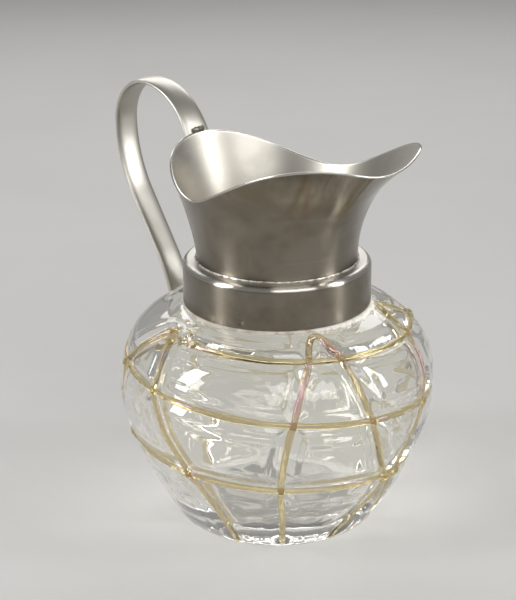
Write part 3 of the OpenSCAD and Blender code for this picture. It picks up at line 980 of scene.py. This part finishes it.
class PITCHER_OT_threads(bpy.types.Operator):
    """Lay the amber glass threads: one spiral and four looped uprights"""

    bl_idname = "pitcher.threads"
    bl_label = "Glass threads"

    per = 14
    # Unevenness: share of the thickness, scale and seed of each noise
    waver_layers = ((0.16, 70.0, 3), (0.1, 260.0, 4))
    # Share of the spiral's height by which an upright thread lifts over it
    lift_share = 0.8
    # Rounded ends: their length, least share of the thickness, and how far the tip stands out
    end_reach = 1.6 * MM
    end_least = 0.05
    tip = 0.2 * MM
    # Share of the height that a thread has at the foot, and the height at which it is full
    foot_share = 0.45
    foot_reach = 10 * MM
    # Depth of the underside as a share of the height
    under_share = 0.45
    # Strength of the painted pink highlights
    pink_highlight_share = 0.6
    # Lumps of a knot: seed of the draws, spread in height against spread in width, and range of sizes in mm
    knot_seed = 5
    knot_flat = 0.5
    lump_sizes = (0.8, 1.8)

    def execute(self, context):
        g = context.scene.pitcher_glass
        form = BlownForm(g)
        finish = amber_glass_finish(context.scene.pitcher_colours)
        angle, z = spiral_way(g)
        self.lay(g, form, finish, "spiral_thread", angle, z, np.zeros(len(z)))
        spiral = search_tree(form.point(angle, z))
        for node, loop in LOOPS.items():
            angle, z = upright_way(g, loop)
            gap = way_to(spiral, form.point(angle, z))
            lift = (self.lift_share * g.thread_h + g.over_gap) * np.exp(-(gap / g.thread_w) ** 2)
            self.lay(g, form, finish, node, angle, z, lift)
        return {"FINISHED"}

    def lay(self, g, form, finish, node, angle, z, lift):
        """One thread along angles and heights, a little uneven and sunk into its valley."""
        p = form.point(angle, z)
        n = form.normal(angle, z)
        t = np.gradient(p, axis=0)
        t /= np.linalg.norm(t, axis=1, keepdims=True)
        side = np.cross(n, t)
        thick = 1 + waver(p, self.waver_layers)
        for spot_a, spot_h, reach, extra in THICK_SPOTS[node]:
            thick = thick + extra * nearness(p, form.spot(spot_a, spot_h), reach)
        thick = thick * rounded_ends(run_along(p), self.end_reach, self.end_least)
        w = 0.5 * g.thread_w * thick
        h = g.thread_h * thick * (self.foot_share + (1 - self.foot_share) * ease(z / self.foot_reach))
        base = p + n * (lift - g.cushion_sink * form.settle(z))[:, None]
        rings = []
        for u in np.linspace(0, FULL_TURN, self.per, endpoint=False):
            up = math.sin(u) * (1.0 if math.sin(u) > 0 else self.under_share)
            rings.append(base + side * (w * math.cos(u))[:, None] + n * (h * up)[:, None])
        tips = [base[0] - t[0] * self.tip, base[-1] + t[-1] * self.tip]
        verts = np.concatenate([np.stack(rings, 1).reshape(-1, 3), tips])
        faces = sweep_faces(len(p), self.per)
        if node in KNOTS:
            verts, faces = add_grains(verts, faces, self.knot(g, form, *KNOTS[node]))
        # Painted pink highlights along given stretches of the thread
        lustre = np.zeros(len(verts))
        for spot_a, spot_h, reach in PAINTED_PINK_HIGHLIGHTS.get(node, ()):
            lustre += nearness(verts, form.spot(spot_a, spot_h), reach)
        finish_piece(node.replace("_thread", "_glass_thread"), verts, faces, finish, "amber_glass", node,
                     marks={"painted_pink_highlight": self.pink_highlight_share * np.clip(lustre, 0, 1)})

    def knot(self, g, form, angle, height, spread, lumps):
        """Lumps of melted glass where the thread was tangled."""
        draw = np.random.default_rng(self.knot_seed)
        spot_z = height / 100 * g.shoulder_z
        reach = spread / float(form.outer(spot_z))
        for _ in range(lumps):
            a = math.radians(angle) + draw.normal(0, reach)
            z = min(spot_z + draw.normal(0, self.knot_flat * spread), g.shoulder_z - g.loop_drop)
            size = draw.uniform(*self.lump_sizes) * MM
            points, sides = make_grain(size, draw.uniform(*GRAIN_SEEDS))
            yield points + form.point(a, z), sides


class PITCHER_OT_plaster(bpy.types.Operator):
    """Set the crumbling plaster between the glass neck and the collar"""

    bl_idname = "pitcher.plaster"
    bl_label = "Plaster bed"

    around = 720
    # Rows of points in the band that shows
    band_rows = 9
    # Direction in which the plaster has crumbled most, and angles over which it is loose and free of grime
    crumbled = math.radians(18)
    loose_reach = math.radians(30)
    clean_reach = math.radians(45)
    most_grime = 0.7
    # Hidden corners: rise above the shoulder and the band's foot, and inset under and over the band
    neck_rise = 1.4 * MM
    corner_rise = 0.5 * MM
    low_inset = 1.5 * MM
    high_inset = 0.8 * MM
    # Grit of the band: height, scale and seed of each noise
    grit_layers = ((0.5, 420.0, 5), (0.35, 1100.0, 6), (0.25, 2400.0, 7))
    # How far the band stands out and how much its grit adds, where it is firm and where it is loose
    firm_out = 0.1 * MM
    firm_grit = 0.5 * MM
    loose_out = 1.9 * MM
    loose_grit = 1.8 * MM
    # Deepest pit, share by which the band draws in towards the collar, and clearance over the glass
    deepest = -0.4 * MM
    draw_in = 0.6
    rest_gap = 0.1 * MM
    # Loose grains: seed of the draws, number, spread in degrees, range of sizes and drop in mm, and lift
    crumb_seed = 8
    crumb_count = 110
    crumb_spread = 20
    crumb_sizes = (0.25, 0.75)
    crumb_drop = 0.4
    crumb_lift = 0.3

    def execute(self, context):
        g = context.scene.pitcher_glass
        m = context.scene.pitcher_mount
        form = BlownForm(g)
        gap = m.lap_gap
        in_r = g.neck_r + gap
        out_r = COLLAR_HIGH.x - m.collar_t - gap
        lip_r = PLASTER_HIGH.x
        low, high = g.shoulder_z + 2 * gap, COLLAR_LOW.z - gap
        under = [(in_r, g.shoulder_z + self.neck_rise), (in_r + g.neck_round, low + self.corner_rise),
                 (lip_r - self.low_inset, low)]
        band = [(lip_r, z) for z in np.linspace(low, high, self.band_rows)]
        over = [(lip_r - self.high_inset, high), (out_r, high), (out_r, PLASTER_HIGH.z),
                (in_r, PLASTER_HIGH.z)]
        grid = turned(under + band + over, self.around)
        self.crumble(form, grid[len(under):len(under) + len(band)], lip_r, low, high)
        faces = grid_faces(len(grid), self.around, True)
        verts, faces = add_grains(grid.reshape(-1, 3), faces, self.crumbs(form, low))
        away = (np.arctan2(verts[:, 1], verts[:, 0]) - self.crumbled) / self.clean_reach
        finish_piece("plaster_ring", verts, faces, plaster_finish(context.scene.pitcher_colours), "plaster",
                     "plaster_bed", marks={"grime": self.most_grime * (1 - np.exp(-away ** 2))})
        return {"FINISHED"}

    def crumble(self, form, shown, lip_r, low, high):
        """Roughens the band that shows, and lets it rest on the glass."""
        flat = shown.reshape(-1, 3)
        angle = np.arctan2(flat[:, 1], flat[:, 0])
        loose = np.exp(-((angle - self.crumbled) / self.loose_reach) ** 2)
        grit = waver(flat, self.grit_layers)
        out = self.firm_out + self.firm_grit * grit + loose * (self.loose_out + self.loose_grit * grit)
        share = np.clip((flat[:, 2] - low) / (high - low), 0, 1)
        r = lip_r + np.maximum(out, self.deepest) * (1 - self.draw_in * share)
        rest = form.shoulder_height(r) + self.rest_gap
        z = rest + share * (high - rest)
        shown[:] = np.stack([r * np.cos(angle), r * np.sin(angle), z], -1).reshape(shown.shape)

    def crumbs(self, form, low):
        """Loose grains that lie on the glass where the plaster has crumbled."""
        draw = np.random.default_rng(self.crumb_seed)
        for _ in range(self.crumb_count):
            angle = self.crumbled + math.radians(draw.normal(0, self.crumb_spread))
            size = draw.uniform(*self.crumb_sizes) * MM
            drop = abs(draw.normal(0, self.crumb_drop)) * MM
            centre = form.point(angle, low - drop) + np.array((0, 0, self.crumb_lift * size))
            points, sides = make_grain(size, draw.uniform(*GRAIN_SEEDS))
            yield points + centre, sides


class PITCHER_OT_collar(bpy.types.Operator):
    """Turn the drum collar and run the solder seam that holds the spout on it"""

    bl_idname = "pitcher.collar"
    bl_label = "Collar and seam"

    around = 480
    # Rows of points on the lower edge, the wall, the upper edge and the shelf
    low_rows = 5
    wall_rows = 34
    edge_rows = 16
    shelf_rows = 12
    # Rounding of the lower edge, gaps between the rows of wall, edge and shelf, and slope of the inner corner
    low_edge = 0.35 * MM
    wall_gap = 0.6 * MM
    shelf_gap = 0.4 * MM
    inner_corner = 0.5 * MM
    # Small dent low on the drum: direction, height above its lower edge, reach and depth
    dent = (math.radians(-65), 3.2 * MM, 1.4 * MM, 0.45 * MM)
    # Waver of the drum: height, scale and seed of the noise
    waver_layers = ((0.05 * MM, 38.0, 9),)
    # Lightening of the upper edge and the shelf, from this row of the upper edge on, and wear of the first
    # rows of the lower edge
    shelf_lightening = 0.6
    shelf_lightening_from = 3
    low_wear = 0.4
    low_wear_rows = 4
    inside_tarnish = 0.7
    # Rows of the upper edge that are satin as the shelf is
    satin_rows = 4
    # Seam: radius of its hollow against its width, rows of points, and share, scale and seed of its waver
    seam_hollow = 0.72
    seam_rows = 12
    seam_layers = ((0.3, 160.0, 14),)

    def execute(self, context):
        m = context.scene.pitcher_mount
        colours = context.scene.pitcher_colours
        self.collar(m, colours)
        self.seam(m, solder_finish("seam_finish", colours.plate_bright, colours.plate))
        return {"FINISHED"}

    def collar(self, m, colours):
        """Drum with a rounded upper edge and a flat shelf."""
        r, low, top = COLLAR_HIGH.x, COLLAR_LOW.z, COLLAR_HIGH.z
        e, t, b = m.collar_edge, m.collar_t, self.low_edge
        hole = m.spout_r - m.spout_t - 2 * m.lap_gap
        rows = arc(r - b, low + b, b, -90, 0, self.low_rows)
        rows += [(r, z) for z in np.linspace(low + 2 * b, top - e - self.wall_gap, self.wall_rows)]
        edge_from = len(rows)
        rows += arc(r - e, top - e, e, 0, 90, self.edge_rows)
        edge_to = len(rows)
        rows += [(x, top) for x in np.linspace(r - e - self.shelf_gap, hole, self.shelf_rows)]
        inside_from = len(rows)
        rows += [(hole, top - t), (r - t - self.inner_corner, top - t), (r - t, top - t - self.inner_corner),
                 (r - t, low + b), (r - t + b, low)]
        flat = turned(rows, self.around).reshape(-1, 3)
        angle, above, reach, depth = self.dent
        spot = np.array((r * math.cos(angle), r * math.sin(angle), low + above))
        push = waver(flat, self.waver_layers) - depth * nearness(flat, spot, reach)
        flat += outward(flat) * push[:, None]
        edge = np.zeros(len(rows))
        edge[edge_from + self.shelf_lightening_from:] = self.shelf_lightening
        edge[:self.low_wear_rows] = self.low_wear
        recess = np.zeros(len(rows))
        recess[inside_from:] = self.inside_tarnish
        piece = finish_piece("collar_drum", flat, grid_faces(len(rows), self.around, True),
                             mount_finish(colours), "plated_metal", "collar",
                             marks={"wear_and_painted_light": np.repeat(edge, self.around),
                                    "recess": np.repeat(recess, self.around)})
        satin = np.arange(len(rows)) >= edge_to - self.satin_rows
        finish_rows(piece, satin_finish(colours), satin, self.around)

    def seam(self, m, finish):
        """Hollow fillet of solder, a little uneven, round the foot of the spout."""
        inside = m.spout_r + 2 * m.lap_gap
        low, wide = SEAM_LOW.z, SEAM_HIGH.x - inside
        rows = [(inside, low), (inside + wide, low)]
        rows += arc(inside + wide, low + wide, self.seam_hollow * wide, 270, 180, self.seam_rows)
        rows += [(inside, low + wide)]
        grid = turned(rows, self.around)
        flat = grid[1:-1].reshape(-1, 3)
        flat += outward(flat) * (wide * waver(flat, self.seam_layers))[:, None]
        finish_piece("foot_seam", grid.reshape(-1, 3), grid_faces(len(rows), self.around, True), finish,
                     "solder", "spout_seam")


class PITCHER_OT_spout(bpy.types.Operator):
    """Raise the helmet spout from sheet metal"""

    bl_idname = "pitcher.spout"
    bl_label = "Spout"

    around = 360
    up = 64
    # Rows of points on the rim, and height of its rounding as a share of half the sheet
    rim_rows = 9
    rim_round = 0.7
    # Unevenness: share, scale and seed of each noise, and height above the foot at which it is full
    waver_layers = ((1.0, 32.0, 10), (0.35, 95.0, 11))
    waver_full = 20 * MM
    # Painted light that lightens the whole inside, and wear of the rim
    inside_painted_light = 0.42
    rim_wear = 1.0
    # Rows low on the inside over which the tarnish grows, and its most
    tarnish_rows = 14
    most_tarnish = 0.5
    # Share of the height where the outside begins to be polished, and share over which it gets there
    polish_begin = 0.3
    polish_reach = 0.4

    def execute(self, context):
        m = context.scene.pitcher_mount
        colours = context.scene.pitcher_colours
        angle = np.linspace(0, FULL_TURN, self.around, endpoint=False)
        away = np.abs((angle + math.pi) % FULL_TURN - math.pi)
        shares = np.linspace(0, 1, self.up)
        half = m.spout_t / 2
        rows = [self.ring(angle, m.spout_r, SPOUT_FOOT)]
        rows += [self.wall(m, angle, away, s, 0.0, 0.0) for s in shares[:-1]]
        for u in np.radians(np.linspace(0, 180, self.rim_rows)):
            inset, raised = half * (1 - math.cos(u)), self.rim_round * half * math.sin(u)
            rows.append(self.wall(m, angle, away, 1.0, inset, raised))
        rows += [self.wall(m, angle, away, s, m.spout_t, 0.0) for s in shares[-2::-1]]
        rows += [self.ring(angle, m.spout_r - m.spout_t, SPOUT_FOOT)]
        flat = np.stack(rows).reshape(-1, 3)
        lift = np.clip((flat[:, 2] - SPOUT_FOOT) / self.waver_full, 0, 1)
        flat += outward(flat) * (m.ripple * lift * waver(flat, self.waver_layers))[:, None]
        # The inside is lightened as painted light; the rim rows are rubbed bright
        edge = np.zeros(len(rows))
        edge[self.up:] = self.inside_painted_light
        edge[self.up:self.up + self.rim_rows] = self.rim_wear
        recess = np.zeros(len(rows))
        recess[-self.tarnish_rows:] = np.linspace(0, self.most_tarnish, self.tarnish_rows)
        polish = np.zeros(len(rows))
        polish[1:self.up] = ease((shares[:-1] - self.polish_begin) / self.polish_reach)
        piece = finish_piece("helmet_spout", flat, grid_faces(len(rows), self.around, True),
                             mount_finish(colours), "plated_metal", "spout",
                             marks={"wear_and_painted_light": np.repeat(edge, self.around),
                                    "recess": np.repeat(recess, self.around),
                                    "polish": np.repeat(polish, self.around)})
        inside = np.arange(len(rows)) >= self.up + self.rim_rows - 1
        finish_rows(piece, satin_finish(colours), inside, self.around)
        return {"FINISHED"}

    def ring(self, angle, r, z):
        """Plain ring of points."""
        return np.stack([r * np.cos(angle), r * np.sin(angle), np.full(len(angle), z)], -1)

    def wall(self, m, angle, away, share, inset, raised):
        """Ring of points at a share of the wall's height, set in by some thickness."""
        waist, side, cheek = m.waist_a, m.rim_side_a, m.rim_cheek_a
        reach = np.where(away < waist,
                         mix(m.rim_tip_r, m.rim_side_r, (away - m.lip_flat) / (waist - m.lip_flat)),
                         mix(m.rim_side_r, m.rim_back_r, (away - waist) / (math.pi - waist)))
        front = mix(m.rim_tip_h, m.rim_cheek_h, away / cheek)
        flank = mix(m.rim_cheek_h, m.rim_side_h, (away - cheek) / (side - cheek))
        back = mix(m.rim_side_h, m.rim_back_h, (away - side) / (math.pi - side))
        rise = np.where(away < cheek, front, np.where(away < side, flank, back))
        flare = m.flare_back + (m.flare_lip - m.flare_back) * (1 + np.cos(away)) / 2
        rise = rise - m.lip_twist * np.sin(angle) * (1 + np.cos(angle)) / 2
        start = SPOUT_FOOT + m.foot_h
        r = m.spout_r + (reach - m.spout_r) * share ** flare - inset
        z = start + (COLLAR_HIGH.z + rise - start) * share + raised
        return np.stack([r * np.cos(angle), r * np.sin(angle), z], -1)


class PITCHER_OT_handle(bpy.types.Operator):
    """Bend the strap handle and add its solder"""

    bl_idname = "pitcher.handle"
    bl_label = "Handle and solder"

    per = 44
    # Length of one step along the strap, and share of its thickness that it stops above the CAD's end
    pace = 0.8 * MM
    end_share = 0.25
    # Length over which the spread at the rim fades
    spread_reach = 11 * MM
    # Rounded ends: their length, least share of the thickness, and share of the width
    end_reach = 1.1 * MM
    end_least = 0.08
    end_width = 0.6
    # Powers that fill out the oval section across and through the strap
    across_power = 0.75
    through_power = 0.9
    # Painted light that lightens the faces, the rubbed wear that the edges add to it, and share of the width
    # at which the edges begin
    face_painted_light = 0.55
    wear_and_painted_light = 0.3
    edge_begin = 0.88
    # Tarnish at the joint with the rim, and length over which it fades
    joint_tarnish = 0.5
    joint_reach = 9 * MM
    # Bead of solder: rings, points in each, share of the CAD's length, height of the lumps and number of bows
    bead_rings = 70
    bead_per = 28
    bead_share = 0.75
    lump_height = 0.5
    lump_bows = 1.5
    # Ends of the bead: power of their rounding and least share
    bead_power = 4
    bead_least = 0.02
    # Pits of the bead: share, scale and seed of each noise
    pit_layers = ((0.3, 900.0, 12), (0.14, 2600.0, 13))

    def execute(self, context):
        m = context.scene.pitcher_mount
        colours = context.scene.pitcher_colours
        x, z, heading = self.path(m)
        self.strap(m, plate_finish("plate_strap", colours, strap_coordinates, SATIN), x, z, heading)
        self.solder(solder_finish("bead_finish", colours.solder, colours.tarnish))
        return {"FINISHED"}

    def path(self, m):
        """Places and headings along the strap, down to where it meets the glass."""
        back_z = COLLAR_HIGH.z + m.rim_back_h
        start = SPOUT_FOOT + m.foot_h
        slope = m.flare_back * (m.rim_back_r - m.spout_r) / (back_z - start)
        h = math.pi / 2 + math.atan(slope) - m.lap_lean
        x = -m.rim_back_r - m.strap_t / 2 / math.sin(h) - m.lap_gap - m.lap_l * math.cos(h)
        z = back_z - m.lap_l * math.sin(h)
        # Length or radius of each stretch, and the angle through which it bends
        bends = (
            (m.lap_l, 0),
            (m.bow_rise_r, math.pi + m.bow_lean - h),
            (m.bow_fall_r, math.pi / 2),
            (m.grip_r, m.grip_turn),
            (m.run_l, 0),
            (m.tail_r, -m.tail_turn),
            (m.tail_run, 0),
        )
        places = [(x, z, h)]
        for size, bend in bends:
            run = size * abs(bend) if bend else size
            steps = max(2, round(run / self.pace))
            for _ in range(steps):
                middle = h + bend / steps / 2
                chord = 2 * size * math.sin(abs(bend) / steps / 2) if bend else run / steps
                x += chord * math.cos(middle)
                z += chord * math.sin(middle)
                h += bend / steps
                places.append((x, z, h))
        kept = [p for p in places if p[1] > STRAP_END + self.end_share * m.strap_t]
        return (np.array(v) for v in zip(*kept))

    def strap(self, m, finish, x, z, heading):
        """Strap with softly convex faces, wider where it joins the rim."""
        middle = np.stack([x, np.zeros(len(x)), z], -1)
        out = np.stack([-np.sin(heading), np.zeros(len(x)), np.cos(heading)], -1)
        across = np.array((0.0, 1.0, 0.0))
        run = run_along(middle)
        w = (m.strap_w + m.strap_spread * np.exp(-(run / self.spread_reach) ** 2)) / 2
        ends = rounded_ends(run, self.end_reach, self.end_least)
        end_w = self.end_width + (1 - self.end_width) * ends
        rings, way, edge = [], [], []
        for u in np.linspace(0, FULL_TURN, self.per, endpoint=False):
            y = math.copysign(abs(math.cos(u)) ** self.across_power, math.cos(u))
            t = math.copysign(abs(math.sin(u)) ** self.through_power, math.sin(u))
            rings.append(middle + across * (w * y * end_w)[:, None]
                         + out * (m.strap_t / 2 * t * ends)[:, None])
            way.append(np.stack([run, w * y, np.full(len(x), m.strap_t * t)], -1))
            # Each point of the section gets the faces' painted light, plus rubbed wear towards the edges
            rubbed = max(0.0, abs(y) - self.edge_begin) / (1 - self.edge_begin)
            edge.append(np.full(len(x), self.face_painted_light + self.wear_and_painted_light * rubbed))
        verts = np.concatenate([np.stack(rings, 1).reshape(-1, 3), [middle[0], middle[-1]]])
        way = np.concatenate([np.stack(way, 1).reshape(-1, 3), [(run[0], 0, 0), (run[-1], 0, 0)]])
        edge = np.concatenate([np.stack(edge, 1).ravel(), [0, 0]])
        joint = np.repeat(np.exp(-(run / self.joint_reach) ** 2), self.per)
        finish_piece("strap_handle", verts, sweep_faces(len(x), self.per), finish, "plated_metal", "handle",
                     marks={"strap_way": way, "wear_and_painted_light": edge,
                            "recess": self.joint_tarnish * np.concatenate([joint, [1, 0]])})

    def solder(self, finish):
        """Pitted bead of three lumps in the corner between strap and rim."""
        middle = (SOLDER_LOW + SOLDER_HIGH) / 2
        half = self.bead_share * (SOLDER_HIGH.y - SOLDER_LOW.y) / 2
        radius = (SOLDER_HIGH.z - SOLDER_LOW.z) / 2
        points = []
        for t in np.linspace(-1, 1, self.bead_rings):
            lumps = 1 + self.lump_height * abs(math.cos(self.lump_bows * math.pi * t))
            r = radius * lumps * math.sqrt(max(self.bead_least, 1 - t ** self.bead_power))
            for u in np.linspace(0, FULL_TURN, self.bead_per, endpoint=False):
                points.append((middle.x + r * math.cos(u), middle.y + half * t, middle.z + r * math.sin(u)))
        verts = np.array(points)
        ray = (verts - np.array((middle.x, 0, middle.z))) * (1, 0, 1)
        verts += ray * waver(verts, self.pit_layers)[:, None]
        tips = [(middle.x, middle.y - half, middle.z), (middle.x, middle.y + half, middle.z)]
        faces = [tuple(reversed(f)) for f in sweep_faces(self.bead_rings, self.bead_per)]
        finish_piece("solder_bead", np.concatenate([verts, tips]), faces, finish, "solder", "handle_solder")


class PITCHER_OT_stage(bpy.types.Operator):
    """Set the floor, the lamps, the world and the camera"""

    bl_idname = "pitcher.stage"
    bl_label = "Stage"

    # Floor: faces along one side, and half its width
    floor_steps = 60
    floor_half = 4.0
    world_colour = (1.0, 0.99, 0.97, 1.0)
    # Point that the lamps face
    lamp_aim = (0, 0, 0.1)
    # Camera: width of the sensor in mm, and how far it sees
    sensor = 36.0
    sight = 20.0

    def execute(self, context):
        stage = context.scene.pitcher_stage
        self.floor(context.scene.pitcher_colours)
        self.world(context.scene, stage.world)
        for box in SOFTBOXES:
            self.softbox(*box)
        self.camera(context.scene, stage)
        context.scene.view_settings.view_transform = "Standard"
        return {"FINISHED"}

    def floor(self, colours):
        """Pale level floor."""
        steps = self.floor_steps
        line = np.linspace(-self.floor_half, self.floor_half, steps + 1)
        verts = [(x, y, 0.0) for y in line for x in line]
        row = steps + 1
        faces = [(j * row + i, j * row + i + 1, (j + 1) * row + i + 1, (j + 1) * row + i)
                 for j in range(steps) for i in range(steps)]
        mesh = bpy.data.meshes.new("floor")
        mesh.from_pydata(verts, [], faces)
        mesh.materials.append(floor_finish(colours))
        floor = bpy.data.objects.new("floor", mesh)
        bpy.context.scene.collection.objects.link(floor)
        floor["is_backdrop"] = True

    def world(self, scene, strength):
        """Even grey surroundings."""
        world = bpy.data.worlds.new("studio")
        world.use_nodes = True
        back = world.node_tree.nodes["Background"]
        back.inputs["Color"].default_value = self.world_colour
        back.inputs["Strength"].default_value = strength
        scene.world = world

    def softbox(self, name, direction, away, height, wide, tall, power):
        """Area lamp that faces the pitcher."""
        lamp = bpy.data.lights.new(name, "AREA")
        lamp.shape = "RECTANGLE"
        lamp.size = wide
        lamp.size_y = tall
        lamp.energy = power
        holder = bpy.data.objects.new(name, lamp)
        a = math.radians(direction)
        holder.location = (away * math.cos(a), away * math.sin(a), height)
        aim = Vector(self.lamp_aim) - holder.location
        holder.rotation_euler = aim.to_track_quat("-Z", "Y").to_euler()
        bpy.context.scene.collection.objects.link(holder)

    def camera(self, scene, stage):
        """Camera at the photograph's viewing angle."""
        turn_a = stage.azimuth + stage.yaw
        level = math.cos(stage.pitch)
        ahead = Vector((-math.sin(turn_a) * level, math.cos(turn_a) * level, -math.sin(stage.pitch)))
        right = ahead.cross(Vector((0, 0, 1))).normalized()
        up = right.cross(ahead)
        c, s = math.cos(stage.roll), math.sin(stage.roll)
        axes = Matrix((c * right + s * up, c * up - s * right, -ahead)).transposed()
        data = bpy.data.cameras.new("camera")
        data.sensor_fit = "HORIZONTAL"
        data.sensor_width = self.sensor
        data.lens = stage.lens
        data.clip_end = self.sight
        camera = bpy.data.objects.new("camera", data)
        place = Vector((stage.distance * math.sin(stage.azimuth), -stage.distance * math.cos(stage.azimuth),
                        stage.height))
        camera.matrix_world = Matrix.Translation(place) @ axes.to_4x4()
        scene.collection.objects.link(camera)
        scene.camera = camera


GROUPS = {
    "pitcher_glass": PitcherGlass,
    "pitcher_mount": PitcherMount,
    "pitcher_colours": PitcherColours,
    "pitcher_stage": PitcherStage,
}
BUILDERS = (
    PITCHER_OT_glass_body,
    PITCHER_OT_threads,
    PITCHER_OT_plaster,
    PITCHER_OT_collar,
    PITCHER_OT_spout,
    PITCHER_OT_handle,
    PITCHER_OT_stage,
)


class PITCHER_PT_build(bpy.types.Panel):
    """Lists the pieces of the pitcher and its sizes"""

    bl_idname = "PITCHER_PT_build"
    bl_label = "Glass pitcher"
    bl_space_type = "VIEW_3D"
    bl_region_type = "UI"
    bl_category = "Pitcher"

    def draw(self, context):
        layout = self.layout
        for builder in BUILDERS:
            layout.operator(builder.bl_idname)
        for name, group in GROUPS.items():
            column = layout.column(heading=group.__doc__)
            for key in group.__annotations__:
                column.prop(getattr(context.scene, name), key)


def register():
    """Registers the groups, operators and panel."""
    for cls in (*GROUPS.values(), *BUILDERS, PITCHER_PT_build):
        bpy.utils.register_class(cls)
    for name, group in GROUPS.items():
        setattr(bpy.types.Scene, name, bpy.props.PointerProperty(type=group))


def unregister():
    """Takes everything that register made away again."""
    for name in GROUPS:
        delattr(bpy.types.Scene, name)
    for cls in reversed((*GROUPS.values(), *BUILDERS, PITCHER_PT_build)):
        bpy.utils.unregister_class(cls)


def main():
    """Builds every piece and the stage, and notes the sizes of the CAD and the visual model."""
    register()
    bpy.ops.pitcher.glass_body()
    bpy.ops.pitcher.threads()
    bpy.ops.pitcher.plaster()
    bpy.ops.pitcher.collar()
    bpy.ops.pitcher.spout()
    bpy.ops.pitcher.handle()
    bpy.ops.pitcher.stage()
    boxes = {"cad": CAD_BOX, "visual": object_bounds()}
    {name: [list(corner) for corner in box] for name, box in boxes.items()}


if __name__ == "__main__":
    main()
